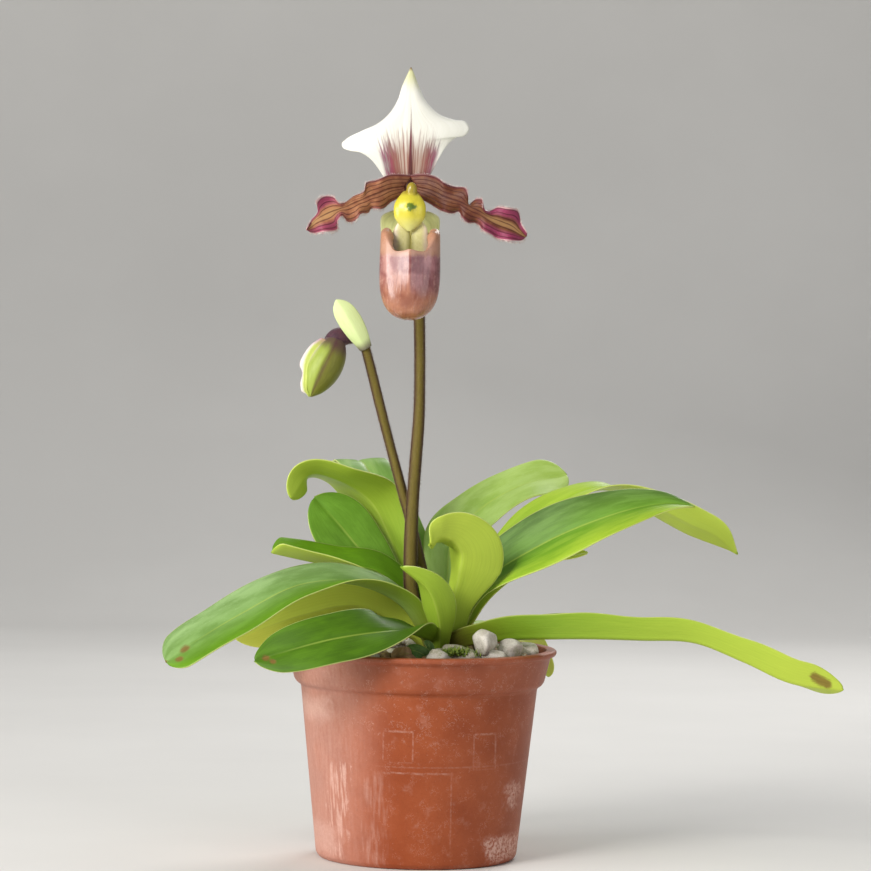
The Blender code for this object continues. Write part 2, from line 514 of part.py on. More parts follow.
def make_pot(parts, cutters):
    """The shell: floor with a raised ring for the drain holes, tapered wall, shoulder, rim band and lip."""
    band_bottom = POT_HEIGHT - BAND_HEIGHT
    floor_top = RECESS + FLOOR
    round_over = 0.5
    inside = [
        (0.0, floor_top), (body_inside(floor_top) - CORNER, floor_top),
        (body_inside(floor_top + CORNER), floor_top + CORNER),
        (body_inside(band_bottom - SHOULDER), band_bottom - SHOULDER),
        (band_inside(band_bottom), band_bottom + CORNER), (band_inside(POT_HEIGHT), POT_HEIGHT),
    ]
    lip = [
        (LIP_RADIUS - round_over, POT_HEIGHT), (LIP_RADIUS, POT_HEIGHT - round_over),
        (LIP_RADIUS - 0.2, POT_HEIGHT - LIP_HEIGHT), (BAND_TOP_RADIUS, POT_HEIGHT - LIP_HEIGHT - 1.0),
    ]
    shoulder = [
        (BAND_BOTTOM_RADIUS + 0.2, band_bottom + CORNER),
        (BAND_BOTTOM_RADIUS - round_over, band_bottom + round_over),
        (BODY_TOP_RADIUS + 0.4, band_bottom - 0.3), (BODY_TOP_RADIUS, band_bottom - SHOULDER),
    ]
    foot = [
        (BASE_RADIUS, CORNER), (BASE_RADIUS - 0.5 * CORNER, 0.25 * CORNER), (BASE_RADIUS - CORNER, 0.0),
        (FOOT_INNER_RADIUS, 0.0), (FOOT_INNER_RADIUS - 1.0, RECESS),
        (CENTRE_DISC_RADIUS + 1.0, RECESS), (CENTRE_DISC_RADIUS, 0.0), (0.0, 0.0),
    ]
    plastic = matte("terracotta plastic", (0.42, 0.12, 0.055), 0.55)
    pot = turned("pot", inside + lip + shoulder + foot, parts, plastic, POT_STEPS)
    ring = (FOOT_INNER_RADIUS + CENTRE_DISC_RADIUS) / 2
    for i in range(DRAIN_HOLES):
        angle = 2 * math.pi * (i + 0.5) / DRAIN_HOLES
        hole = cylinder(f"drain_{i}", DRAIN_RADIUS, RECESS - 1.0, floor_top + 1.0, ring * math.cos(angle),
                        ring * math.sin(angle), cutters, sides=16)
        cut(pot, hole)


def make_mix(parts, cutters):
    """The potting mix fills the pot up to the gravel; the crown stands in a plain hole."""
    bottom = RECESS + FLOOR + GAP
    below_band = POT_HEIGHT - BAND_HEIGHT - SHOULDER
    in_band = below_band + SHOULDER + CORNER
    slack = 2 * GAP  # the shoulder slants, so the clearance is wider beside it
    profile = [
        (0.0, MIX_TOP), (band_inside(MIX_TOP) - slack, MIX_TOP), (band_inside(in_band) - slack, in_band),
        (body_inside(below_band) - GAP, below_band), (body_inside(bottom + CORNER) - slack, bottom + CORNER),
        (body_inside(bottom) - CORNER - GAP, bottom), (0.0, bottom),
    ]
    mix = turned("potting_mix", profile, parts, matte("bark mix", (0.07, 0.045, 0.03), 0.95), FILL_STEPS)
    hole_radius = CROWN_RADIUS + 1.5 * GAP
    cut(mix, cylinder("mix_hole", hole_radius, CROWN_BOTTOM - GAP, MIX_TOP + 5, CROWN_X, 0, cutters))


def pebble(name, x, y, z, size, squash, turn, collection, detail):
    """One stone: a rough ball, drawn out, flattened and turned."""
    mesh = bpy.data.meshes.new(name)
    work = bmesh.new()
    bmesh.ops.create_icosphere(work, subdivisions=detail, radius=size * MM)
    work.to_mesh(mesh)
    work.free()
    made = add_object(name, mesh, collection)
    made.location = (x * MM, y * MM, z * MM)
    made.rotation_euler = (0.3 * math.sin(turn), 0.3 * math.cos(turn), turn)
    made.scale = (1.25, 0.9, squash)
    return made


def make_gravel(parts, cutters):
    """A layer of gravel: stones in rings, sunk into a bed that is lower round the crown."""
    edge = GRAVEL_TOP - 1.0
    profile = [
        (0.0, GRAVEL_HOLLOW), (HOLLOW_RADII[0], GRAVEL_HOLLOW), (HOLLOW_RADII[1], GRAVEL_TOP),
        (BED_RADIUS, GRAVEL_TOP), (band_inside(edge) - GAP, edge),
        (band_inside(MIX_TOP) - GAP - 0.1, MIX_TOP + GAP), (0.0, MIX_TOP + GAP),
    ]
    bed = turned("gravel", profile, parts, matte("gravel", (0.42, 0.38, 0.32), 0.8), FILL_STEPS)
    rng = random.Random(STONE_SEED)
    stones = new_collection("stones")
    for ring, (count, radius) in enumerate(STONE_RINGS):
        for i in range(count):
            angle = 2 * math.pi * (i + 0.5 * (ring % 2)) / count + rng.uniform(-0.08, 0.08)
            r = radius + rng.uniform(-1.0, 0.6)
            size = rng.uniform(*STONE_SIZE)
            height = np.interp(r, HOLLOW_RADII, (GRAVEL_HOLLOW, GRAVEL_TOP)) + rng.uniform(*STONE_LIFT)
            squash = rng.uniform(*STONE_SQUASH)
            turn = rng.uniform(0, 2 * math.pi)
            x = r * math.cos(angle)
            y = r * math.sin(angle)
            if math.hypot(x - CROWN_X, y) > CROWN_CLEARANCE:
                pebble(f"pebble_{ring}_{i}", x, y, height, size, squash, turn, stones, 1)
    for i, (x, y, z, size) in enumerate(BIG_STONES):
        pebble(f"big_stone_{i}", x, y, z, size, 0.95, 1.1 * i, stones, 2)
    gravel = fused(bed, stones, parts)
    cut(gravel, cylinder("gravel_hole", GRAVEL_HOLE, MIX_TOP - 3, MIX_TOP + 20, CROWN_X, 0, cutters))


def make_leaves(parts, sheaths):
    """Each leaf's sheath, which joins the crown, and its blade, which starts where the sheath ends."""
    for name, spec in LEAVES.items():
        length = leg_lengths(spec["route"]).sum()
        split = spec["sheath"] / length
        blade("sheath_" + name, spec, sheaths, None, SHEATH_THICKNESS, SHEATH_ROWS, LEAF_COLUMNS, 0.0, split)
        rows = max(FEWEST_ROWS, round(length / LEAF_ROW))
        green = matte(name, (0.13, 0.3, 0.035), 0.4)
        blade(name, spec, parts, green, LEAF_THICKNESS, rows, LEAF_COLUMNS, split + GAP / length)


def make_stems(parts, sheaths):
    """Each stem's foot, which joins the crown, and the stem above it."""
    for name, spec in STEMS.items():
        length = leg_lengths(spec["route"]).sum()
        split = spec["foot"] / length
        below = along_route(spec["route"], np.linspace(0, split, 5))
        above = along_route(spec["route"], np.linspace(split + STEM_GAP / length, 1, STEM_POINTS))
        foot_radii = [spec["radii"][0] + FOOT_EXTRA] * 2
        as_mesh(tube("foot_" + name, below, foot_radii, sheaths, count=5), sheaths)
        tube(name, above, spec["radii"], parts, matte(name, (0.13, 0.085, 0.02), 0.6))


def make_crown(parts, sheaths):
    """The short rhizome with the leaves' sheaths and the stems' feet fused on."""
    profile = [
        (0.0, CROWN_TOP), (5.0, CROWN_TOP - 0.6), (CROWN_RADIUS - 0.4, CROWN_TOP - 2.5),
        (CROWN_RADIUS, CROWN_TOP - 5.0), (CROWN_RADIUS, CROWN_BOTTOM + 2.0),
        (CROWN_RADIUS - 2.0, CROWN_BOTTOM), (0.0, CROWN_BOTTOM),
    ]
    crown = turned("crown", profile, parts, matte("sheath tissue", (0.16, 0.17, 0.05), 0.6), CROWN_STEPS)
    crown.location.x = CROWN_X * MM
    smooth(fused(crown, sheaths, parts).data)


def make_sepals_and_petals(parts):
    for name, spec in FLORAL.items():
        colour, rows, columns = FLORAL_LOOKS[name]
        blade(name, spec, parts, matte(name, colour, 0.5), PETAL_THICKNESS, rows, columns)


def make_pouch(parts):
    """The slipper: a cup with an oval section, closed to a toe, its rim high at the sides and at the back."""
    v = 1 - (1 - np.linspace(0, 1, POUCH_ROWS + 1)[:-1, None]) ** 1.5
    angle = np.linspace(0, 2 * math.pi, POUCH_COLUMNS, endpoint=False)[None, :]
    back = ((1 - np.cos(angle)) / 2) ** 3
    rim = POUCH_RIM + POUCH_EARS * np.sin(angle) ** 2 + POUCH_CLAW * back
    size = (1 - v**3.4) ** 0.5
    claw = back * (1 - v) ** 2
    x = POUCH_X + POUCH_HALF_WIDTH * np.sin(angle) * size * (1 - 0.55 * claw)
    y = POUCH_Y - POUCH_FORWARD * v - POUCH_HALF_DEPTH * np.cos(angle) * size + 1.4 * claw
    z = rim + (POUCH_TOE - rim) * v
    grid = np.stack([x, y, z], axis=-1)
    mesh = grid_mesh("pouch", grid, wrap=True, pole=(POUCH_X, POUCH_Y - POUCH_FORWARD, POUCH_TOE))
    sheet("pouch", mesh, parts, matte("pouch", (0.34, 0.11, 0.09), 0.25), PETAL_THICKNESS)


def make_column(parts):
    """The column, which grows forward from the receptacle, with the oval shield at its end fused on."""
    place = np.array(FLOWER)
    column = tube("column", place + np.array(COLUMN_ROUTE), COLUMN_RADII, parts,
                  matte("column", (0.6, 0.6, 0.06), 0.4), count=6)
    column = as_mesh(column, parts)
    extras = new_collection("shield")
    shield = dict(SHIELD, route=place + np.array(SHIELD["route"]))
    blade("shield", shield, extras, None, SHIELD_THICKNESS, 7, 4)
    smooth(fused(column, extras, parts).data)


def make_ovary(parts):
    """The ovary, which carries the flower: it bends forward from the stem's end and widens."""
    tube("ovary", OVARY_ROUTE, OVARY_RADII, parts, matte("ovary", (0.2, 0.14, 0.05), 0.6), count=14)


def make_bud(parts):
    tube("bud_neck", NECK_ROUTE, NECK_RADII, parts, matte("bud_neck", (0.09, 0.03, 0.045), 0.6), count=9)
    tube("bud", BUD_ROUTE, BUD_RADII, parts, matte("bud", (0.4, 0.5, 0.13), 0.5), sides_level=3, count=12)


def main():
    clear_scene()
    parts = new_collection("potted_slipper_orchid")
    cutters = new_collection("cutters")
    sheaths = new_collection("sheaths")
    make_pot(parts, cutters)
    make_mix(parts, cutters)
    make_gravel(parts, cutters)
    make_leaves(parts, sheaths)
    make_stems(parts, sheaths)
    make_crown(parts, sheaths)
    make_sepals_and_petals(parts)
    make_pouch(parts)
    make_ovary(parts)
    make_column(parts)
    make_bud(parts)


main()
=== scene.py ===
# %% [markdown]
# # A slipper orchid in its pot
# A small house plant. Strap leaves fan out of a short crown, one hairy stem carries an open slipper
# flower and a second one a nodding bud, and the whole grows in a plastic pot topped with gravel.
# The solid model holds a plain closed solid for every leaf, petal and stem. This notebook lays a
# finely shaped and finished piece over each of them, in the same place and at the same size.

# %% Load the solid model
import math
import random

import bpy
import numpy as np
from mathutils import Matrix, Vector


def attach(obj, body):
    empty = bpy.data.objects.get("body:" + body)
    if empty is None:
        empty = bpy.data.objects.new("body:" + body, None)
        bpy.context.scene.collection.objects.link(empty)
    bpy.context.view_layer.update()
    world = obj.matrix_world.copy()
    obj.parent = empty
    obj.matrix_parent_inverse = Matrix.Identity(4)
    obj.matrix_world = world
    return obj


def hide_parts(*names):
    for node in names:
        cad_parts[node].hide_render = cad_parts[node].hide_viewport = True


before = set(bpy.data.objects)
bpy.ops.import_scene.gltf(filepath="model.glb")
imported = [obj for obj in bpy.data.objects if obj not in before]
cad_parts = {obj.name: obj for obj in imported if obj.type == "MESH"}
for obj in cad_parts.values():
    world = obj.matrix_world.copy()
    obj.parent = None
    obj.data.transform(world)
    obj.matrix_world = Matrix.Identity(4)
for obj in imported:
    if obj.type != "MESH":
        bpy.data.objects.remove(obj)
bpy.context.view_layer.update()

MM = 0.001  # shapes below are worked out in millimetres and written into the meshes in metres
BODY = "root"

# %% [markdown]
# ## The camera
# The picture was taken from about the height of the stems, a little more than a metre away. A long
# lens shows the pot's lip as a flat ellipse, so the camera is placed by its distance, by how many
# millimetres one pixel shows at the plant, and by a small roll that leans the stems to the right.

# %% Camera
PICTURE_SIDE = 871  # pixels
PIXEL = 0.328  # millimetres of plant that one pixel shows
DISTANCE = 1200.0
EYE_HEIGHT = 172.0
AIM = (3.8, 0.0, 138.6)
ROLL = math.radians(1.1)
SENSOR = 36.0


def place_camera():
    """The view axes are the aim's direction, its right and its up; the roll turns the last two."""
    eye = Vector((AIM[0], -DISTANCE, EYE_HEIGHT))
    forward = (Vector(AIM) - eye).normalized()
    right = forward.cross(Vector((0, 0, 1))).normalized()
    up = right.cross(forward)
    rolled_right = math.cos(ROLL) * right + math.sin(ROLL) * up
    rolled_up = math.cos(ROLL) * up - math.sin(ROLL) * right
    lens = bpy.data.cameras.new("camera")
    lens.sensor_width = SENSOR
    lens.lens = SENSOR * DISTANCE / (PIXEL * PICTURE_SIDE)
    made = bpy.data.objects.new("camera", lens)
    turn = Matrix((rolled_right, rolled_up, -forward)).transposed()
    made.matrix_world = Matrix.Translation(eye * MM) @ turn.to_4x4()
    bpy.context.scene.collection.objects.link(made)
    bpy.context.scene.camera = made
    return made


camera = place_camera()
print("The lens is", round(camera.data.lens, 1), "mm long")

# %% [markdown]
# ## Formulas for curves
# A leaf, a petal and a stem all follow a smooth route through a few points. A cubic curve between
# neighbouring points, with slopes taken from the points on either side, passes through every one of
# them. The same curve also carries widths, fold angles and the way a leaf's upper side looks.

# %% Curves
def hermite(knots, values, t):
    """Cubic curve through values at knots, its slopes taken from the neighbouring knots, read at t."""
    knots = np.asarray(knots, float)
    values = np.asarray(values, float)
    slopes = np.gradient(values, knots, axis=0)
    i = np.clip(np.searchsorted(knots, t, side="right") - 1, 0, len(knots) - 2)
    step = knots[i + 1] - knots[i]
    u = (t - knots[i]) / step
    if values.ndim > 1:
        step = step[:, None]
        u = u[:, None]
    first = (2 * u**3 - 3 * u**2 + 1) * values[i] + (u**3 - 2 * u**2 + u) * step * slopes[i]
    return first + (3 * u**2 - 2 * u**3) * values[i + 1] + (u**3 - u**2) * step * slopes[i + 1]


def even(values, t):
    """Values given at even steps from 0 to 1, read at t."""
    return hermite(np.linspace(0, 1, len(values)), values, t)


def unit(v):
    return v / np.linalg.norm(v, axis=-1, keepdims=True)


def leg_lengths(route):
    return np.linalg.norm(np.diff(np.asarray(route, float), axis=0), axis=1)


def along_route(route, t):
    """The point of a route at t, where t is the share of its length that lies behind."""
    legs = leg_lengths(route)
    return hermite(np.concatenate([[0], np.cumsum(legs)]) / legs.sum(), route, t)


def smoothstep(low, high, x):
    """0 below low, 1 above high and an S-shaped rise between them."""
    u = np.clip((x - low) / (high - low), 0, 1)
    return u * u * (3 - 2 * u)


def frame_along(route, t, look):
    """Centre, tangent, face and side of a route at t: the face is look without its part along the tangent."""
    step = 0.004
    centre = along_route(route, t)
    before = along_route(route, np.maximum(t - step, 0))
    tangent = unit(along_route(route, np.minimum(t + step, 1)) - before)
    face = unit(look - (look * tangent).sum(-1, keepdims=True) * tangent)
    return centre, tangent, face, np.cross(tangent, face)


print("A curve through 0, 1, 0 reads", hermite((0, 0.5, 1), (0.0, 1.0, 0.0), np.array([0.25]))[0])

# %% [markdown]
# ## From a grid of points to a closed skin
# Every new piece is a ring of points carried along its length: the ring of a stem is a circle, and
# the ring of a leaf goes out over the upper side and back under the lower one. Rings joined to their
# neighbours give four-sided faces, and a fan closes each end. The sum of the faces' small cones
# tells whether the skin faces outwards, and turns it round if it doesn't.

# %% Skins
UV_NAME = "Blade"


def dress(made, replaced=()):
    """A finished piece rides on the pot's body and stands for its solids."""
    bpy.context.scene.collection.objects.link(made)
    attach(made, BODY)
    if replaced:
        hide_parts(*replaced)
    return made


def build_mesh(name, points, faces, uvs, finish, marks):
    """A smooth-shaded mesh from points in millimetres, faces as lists of indices and one UV a corner."""
    mesh = bpy.data.meshes.new(name)
    mesh.from_pydata((points * MM).tolist(), [], faces)
    layer = mesh.uv_layers.new(name=UV_NAME)
    layer.data.foreach_set("uv", np.asarray(uvs, np.float32).ravel())
    for mark, values in marks.items():
        attribute = mesh.attributes.new(mark, "FLOAT", "POINT")
        attribute.data.foreach_set("value", np.asarray(values, np.float32))
    mesh.shade_smooth()
    mesh.materials.append(finish)
    return mesh


def uv_corners(*corners):
    """UVs of many faces alike, from the us and the vs of each corner in turn."""
    return np.stack([np.stack(corner, 1) for corner in corners], 1)


def skin_parts(rings, first=0, u=None, v=None):
    """Points, faces and UVs of rings joined side by side, closed by a fan at each end, numbered from first.

    The signed volume is a sixth of the sum of each triangle's first corner dotted with the cross
    product of its other two; if it is negative the faces are turned round.
    """
    rows, columns = rings.shape[:2]
    u = np.linspace(0, 1, columns + 1) if u is None else u
    v = np.linspace(0, 1, rows) if v is None else v
    row = np.arange(rows - 1)[:, None] * columns
    here = np.arange(columns)[None, :]
    there = (here + 1) % columns
    a, b, c, d = (x.ravel() for x in (row + here, row + there, row + columns + there, row + columns + here))
    ends = np.array([rings[0].mean(0), rings[-1].mean(0)])
    points = np.concatenate([rings.reshape(-1, 3), ends])
    low = rows * columns
    last = (rows - 1) * columns
    ring = np.arange(columns)
    next_one = (ring + 1) % columns
    near = np.stack([np.full(columns, low), next_one, ring], 1)
    far = np.stack([np.full(columns, low + 1), last + ring, last + next_one], 1)
    triangles = np.concatenate([np.stack([a, b, c], 1), np.stack([a, c, d], 1), near, far])
    corners = points[triangles]
    volume = np.einsum("ij,ij->i", corners[:, 0], np.cross(corners[:, 1], corners[:, 2])).sum() / 6
    u_low, u_high = np.tile(u[:-1], rows - 1), np.tile(u[1:], rows - 1)
    v_low, v_high = np.repeat(v[:-1], columns), np.repeat(v[1:], columns)
    middle = (u[:-1] + u[1:]) / 2
    v_first, v_last = np.full(columns, v[0]), np.full(columns, v[-1])
    quad_uv = uv_corners((u_low, v_low), (u_high, v_low), (u_high, v_high), (u_low, v_high))
    groups = [
        (np.stack([a, b, c, d], 1), quad_uv),
        (near, uv_corners((middle, v_first), (u[1:], v_first), (u[:-1], v_first))),
        (far, uv_corners((middle, v_last), (u[:-1], v_last), (u[1:], v_last))),
    ]
    if volume < 0:
        groups = [(faces[:, ::-1], uv[:, ::-1]) for faces, uv in groups]
    faces = [face for group, _ in groups for face in (group + first).tolist()]
    uvs = np.concatenate([uv.reshape(-1, 2) for _, uv in groups])
    return points, faces, uvs


def skin(name, rings, finish, replaced=(), marks=None, u=None, v=None):
    """One closed piece from rings of points; marks hold a number for each ring point."""
    points, faces, uvs = skin_parts(rings, 0, u, v)
    marks = {key: np.concatenate([value.ravel(), value[0, :1].ravel(), value[-1, :1].ravel()])
             for key, value in (marks or {}).items()}
    mesh = build_mesh(name, points, faces, uvs, finish, marks)
    return dress(bpy.data.objects.new(name, mesh), replaced)


def many_skins(name, ring_sets, finish, marks=None):
    """Several closed skins in one mesh; marks hold one number for each skin."""
    points, faces, uvs, counts = [], [], [], []
    for rings in ring_sets:
        some, more, uv = skin_parts(rings, sum(counts))
        points.append(some)
        faces += more
        uvs.append(uv)
        counts.append(len(some))
    marks = {key: np.repeat(value, counts) for key, value in (marks or {}).items()}
    mesh = build_mesh(name, np.concatenate(points), faces, np.concatenate(uvs), finish, marks)
    return dress(bpy.data.objects.new(name, mesh))


print("Skins carry the UV map", UV_NAME)

# %% [markdown]
# ## Shader formulas
# A finish is a formula over the surface: so much vein here, so much bloom there. Written as plain
# nodes it takes ten lines for each sum, so a small class lets sums be written with + and *. Effects
# that several finishes share, such as cloudy tints and lengthwise veins, are node groups built once.

# %% Shader helpers
def tone(red, green, blue):
    """A colour as seen on the screen, each part from 0 to 255, turned into the light it stands for."""
    shown = np.array([red, green, blue]) / 255
    return tuple(np.where(shown <= 0.04045, shown / 12.92, ((shown + 0.055) / 1.055) ** 2.4).tolist())


class Wire:
    """The output of a shader node; sums with it add Math nodes."""

    def __init__(self, graph, socket):
        self.graph = graph
        self.socket = socket

    def __add__(self, other):
        return self.graph.math("ADD", self, other)

    def __sub__(self, other):
        return self.graph.math("SUBTRACT", self, other)

    def __rsub__(self, other):
        return self.graph.math("SUBTRACT", other, self)

    def __mul__(self, other):
        return self.graph.math("MULTIPLY", self, other)

    def __truediv__(self, other):
        return self.graph.math("DIVIDE", self, other)

    def __pow__(self, other):
        return self.graph.math("POWER", self, other)

    def __abs__(self):
        return self.graph.math("ABSOLUTE", self)

    __radd__ = __add__
    __rmul__ = __mul__


class Graph:
    """A shader tree written as formulas: each method adds one node and returns its output."""

    def __init__(self, tree):
        self.tree = tree

    def feed(self, socket, value):
        if isinstance(value, Wire):
            self.tree.links.new(value.socket, socket)
        elif isinstance(value, tuple) and socket.type == "RGBA":
            socket.default_value = (*value, 1.0)
        else:
            socket.default_value = value

    def node(self, kind, feeds, output=0, **settings):
        made = self.tree.nodes.new("ShaderNode" + kind)
        for key, value in settings.items():
            setattr(made, key, value)
        for place, value in feeds.items():
            self.feed(made.inputs[place], value)
        return Wire(self, made.outputs[output])

    def math(self, operation, a, b=0.0):
        return self.node("Math", {0: a, 1: b}, operation=operation)

    def most(self, a, b):
        return self.math("MAXIMUM", a, b)

    def step(self, value, low, high):
        """0 below low, 1 above high, an S-shaped rise between; falls instead where low is above high."""
        feeds = {0: value, 1: low, 2: high}
        return self.node("MapRange", feeds, interpolation_type="SMOOTHSTEP", clamp=True)

    def mix(self, share, a, b):
        return self.node("Mix", {0: share, 6: a, 7: b}, output=2, data_type="RGBA", clamp_factor=True)

    def layers(self, colour, *coats):
        """A colour with others laid over it in turn, each by its own share."""
        for share, over in coats:
            colour = self.mix(share, colour, over)
        return colour

    def noise(self, vector, scale, detail=2.0, roughness=0.5):
        feeds = {"Vector": vector, "Scale": scale, "Detail": detail, "Roughness": roughness}
        return self.node("TexNoise", feeds)

    def cells(self, vector, scale):
        return self.node("TexVoronoi", {"Vector": vector, "Scale": scale})

    def stretched(self, vector, x, y, z):
        return self.node("VectorMath", {0: vector, 1: (x, y, z)}, operation="MULTIPLY")

    def place(self):
        """Object coordinates in millimetres."""
        here = self.node("TexCoord", {}, output="Object")
        return self.stretched(here, 1 / MM, 1 / MM, 1 / MM)

    def split(self, vector):
        made = self.node("SeparateXYZ", {0: vector})
        return [Wire(self, output) for output in made.socket.node.outputs]

    def join(self, x, y, z):
        return self.node("CombineXYZ", {0: x, 1: y, 2: z})

    def fibres(self, x, y, z=0.0, scale=1.0, detail=3.0, roughness=0.5):
        """Noise over a blade, where x is its stretched way across and y the one along."""
        return self.noise(self.join(x, y, z), scale, detail, roughness)

    def blade(self):
        """Across a blade from -1 to 1 and along it from 0 to 1."""
        u, v, _ = self.split(self.node("UVMap", {}, uv_map=UV_NAME))
        return u * 2 - 1, v

    def mark(self, name):
        return self.node("Attribute", {}, output="Fac", attribute_name=name)

    def use(self, group, **feeds):
        made = self.tree.nodes.new("ShaderNodeGroup")
        made.node_tree = group
        for name, value in feeds.items():
            self.feed(made.inputs[name], value)
        return Wire(self, made.outputs[0])


def shared_effect(name, inputs, build):
    """A node group with named inputs and one output, Amount, which build works out from them."""
    tree = bpy.data.node_groups.new(name, "ShaderNodeTree")
    for key, default in inputs.items():
        kind = "NodeSocketVector" if default is None else "NodeSocketFloat"
        socket = tree.interface.new_socket(key, in_out="INPUT", socket_type=kind)
        if default is not None:
            socket.default_value = default
    tree.interface.new_socket("Amount", in_out="OUTPUT", socket_type="NodeSocketFloat")
    g = Graph(tree)
    inlet = tree.nodes.new("NodeGroupInput")
    outlet = tree.nodes.new("NodeGroupOutput")
    amount = build(g, {key: Wire(g, inlet.outputs[key]) for key in inputs})
    g.feed(outlet.inputs["Amount"], amount)
    return tree


def cloud_formula(g, i):
    """Noise pushed towards 0 below Low and towards 1 above High."""
    return g.step(g.noise(i["Vector"], i["Scale"], 4.0, 0.55), i["Low"], i["High"])


def vein_formula(g, i):
    """Lines along a blade: distance to the nearest whole number of Across times Count, with some wander."""
    wander = g.noise(g.join(i["Across"] * 2, i["Along"] * 6, 0.0), 1.5) * i["Wander"]
    lane = i["Across"] * i["Count"] + wander
    offset = abs(g.math("FRACT", lane + 0.5) - 0.5)
    return g.step(offset, i["Width"], 0.02)


def edge_formula(g, i):
    """1 on a blade's margins, falling to 0 over Width."""
    return g.step(abs(i["Across"]), 1 - i["Width"], 1.0)


CLOUD = shared_effect("cloudy tint", {"Vector": None, "Scale": 0.1, "Low": 0.4, "High": 0.6}, cloud_formula)
VEINS = shared_effect("lengthwise veins", {"Across": 0.0, "Along": 0.0, "Count": 6.0, "Width": 0.2,
                                           "Wander": 0.3}, vein_formula)
EDGE = shared_effect("margin", {"Across": 0.0, "Width": 0.05}, edge_formula)


def clouds(g, vector, scale, spread=0.15):
    """Cloudy tint: 0 where the noise is a spread under its middle, 1 where it is a spread over it."""
    return g.use(CLOUD, Vector=vector, Scale=scale, Low=0.5 - spread, High=0.5 + spread)


def veins_along(g, across, along, count, width, wander):
    return g.use(VEINS, Across=across, Along=along, Count=count, Width=width, Wander=wander)


def margin(g, across, width):
    return g.use(EDGE, Across=across, Width=width)


def sheen(weight, roughness):
    return {"Sheen Weight": weight, "Sheen Roughness": roughness}


def coat(weight, roughness):
    return {"Coat Weight": weight, "Coat Roughness": roughness}


SOFT_SHINE = {"Specular IOR Level": 0.3}


def new_finish(name, paint, constants=SOFT_SHINE):
    """A Principled material: paint gives its colour, roughness and height in millimetres as formulas."""
    made = bpy.data.materials.new(name)
    made.use_nodes = True
    g = Graph(made.node_tree)
    shader = made.node_tree.nodes["Principled BSDF"]
    for key, value in constants.items():
        shader.inputs[key].default_value = value
    painted = paint(g)
    g.feed(shader.inputs["Base Color"], painted["colour"])
    g.feed(shader.inputs["Roughness"], painted["roughness"])
    bump = g.node("Bump", {"Height": painted["height"], "Distance": MM})
    g.feed(shader.inputs["Normal"], bump)
    return made


print("Shared effects:", [group.name for group in (CLOUD, VEINS, EDGE)])

# %% [markdown]
# ## The studio
# A pale sweep, a floor that curves up into a wall, gives a plain ground without a horizon line. A
# large soft lamp high on the left lights the leaves and puts the pale shine on the left of the
# slipper; a weaker one on the right fills the shadows, and one from behind draws the leaves' rims.

# %% Sweep, lamps and sky
SWEEP_WIDTH = 5000.0
SWEEP_FRONT = -2600.0
SWEEP_BACK = 900.0
SWEEP_BEND = 500.0
SWEEP_TOP = 2600.0
SKY_STRENGTH = 0.27


def make_sweep():
    """Straight floor, a quarter circle of radius SWEEP_BEND and a straight wall, drawn out sideways."""
    turn = np.linspace(0, math.pi / 2, 24)
    y = np.concatenate([[SWEEP_FRONT], SWEEP_BACK + SWEEP_BEND * np.sin(turn), [SWEEP_BACK + SWEEP_BEND]])
    z = np.concatenate([[0.0], SWEEP_BEND * (1 - np.cos(turn)), [SWEEP_TOP]])
    x = np.array([-SWEEP_WIDTH / 2, SWEEP_WIDTH / 2])
    points = np.stack([np.tile(x, len(y)), np.repeat(y, 2), np.repeat(z, 2)], 1)
    r = np.arange(len(y) - 1)[:, None] * 2
    faces = (r + np.array([[0, 1, 3, 2]])).tolist()
    mesh = bpy.data.meshes.new("sweep")
    mesh.from_pydata((points * MM).tolist(), [], faces)
    mesh.shade_smooth()
    paper = bpy.data.materials.new("pale paper")
    paper.use_nodes = True
    g = Graph(paper.node_tree)
    shader = paper.node_tree.nodes["Principled BSDF"]
    mottle = clouds(g, g.place(), 0.004, 0.2)
    g.feed(shader.inputs["Base Color"], g.mix(mottle, tone(220, 218, 214), tone(226, 224, 220)))
    shader.inputs["Roughness"].default_value = 0.9
    mesh.materials.append(paper)
    made = bpy.data.objects.new("sweep", mesh)
    bpy.context.scene.collection.objects.link(made)


def make_lamp(name, place, aim, size, power, colour):
    """A square soft lamp at a place in millimetres that looks at aim."""
    light = bpy.data.lights.new(name, "AREA")
    light.shape = "SQUARE"
    light.size = size * MM
    light.energy = power
    light.color = colour
    made = bpy.data.objects.new(name, light)
    made.location = Vector(place) * MM
    made.rotation_euler = (Vector(aim) - Vector(place)).to_track_quat("-Z", "Y").to_euler()
    bpy.context.scene.collection.objects.link(made)


def make_sky(strength):
    world = bpy.data.worlds.new("studio")
    bpy.context.scene.world = world
    world.use_nodes = True
    world.node_tree.nodes["Background"].inputs["Color"].default_value = (0.95, 0.97, 1.0, 1.0)
    world.node_tree.nodes["Background"].inputs["Strength"].default_value = strength


make_sweep()
make_lamp("key", (-620, -860, 700), (0, 0, 150), 400, 9.5, (1.0, 0.98, 0.95))
make_lamp("side", (-930, -480, 300), (0, 0, 150), 420, 5.5, (1.0, 0.99, 0.97))
make_lamp("fill", (900, -900, 420), (0, 0, 120), 600, 2.2, (0.97, 0.98, 1.0))
make_lamp("rim", (300, 700, 700), (0, 0, 150), 400, 4.5, (1.0, 1.0, 1.0))
make_sky(SKY_STRENGTH)
bpy.context.scene.view_settings.view_transform = "Standard"
print("Lamps:", [light.name for light in bpy.data.lights])

# %% [markdown]
# ## Values shared with the solid model
# The solid model is a script of its own, so the values that place its pieces are written out again
# here: the pot's profile, the route of every leaf's midrib, the way its upper side looks, its width,
# and the stems' middle lines. Each finer piece is worked out from them and so covers its solid.

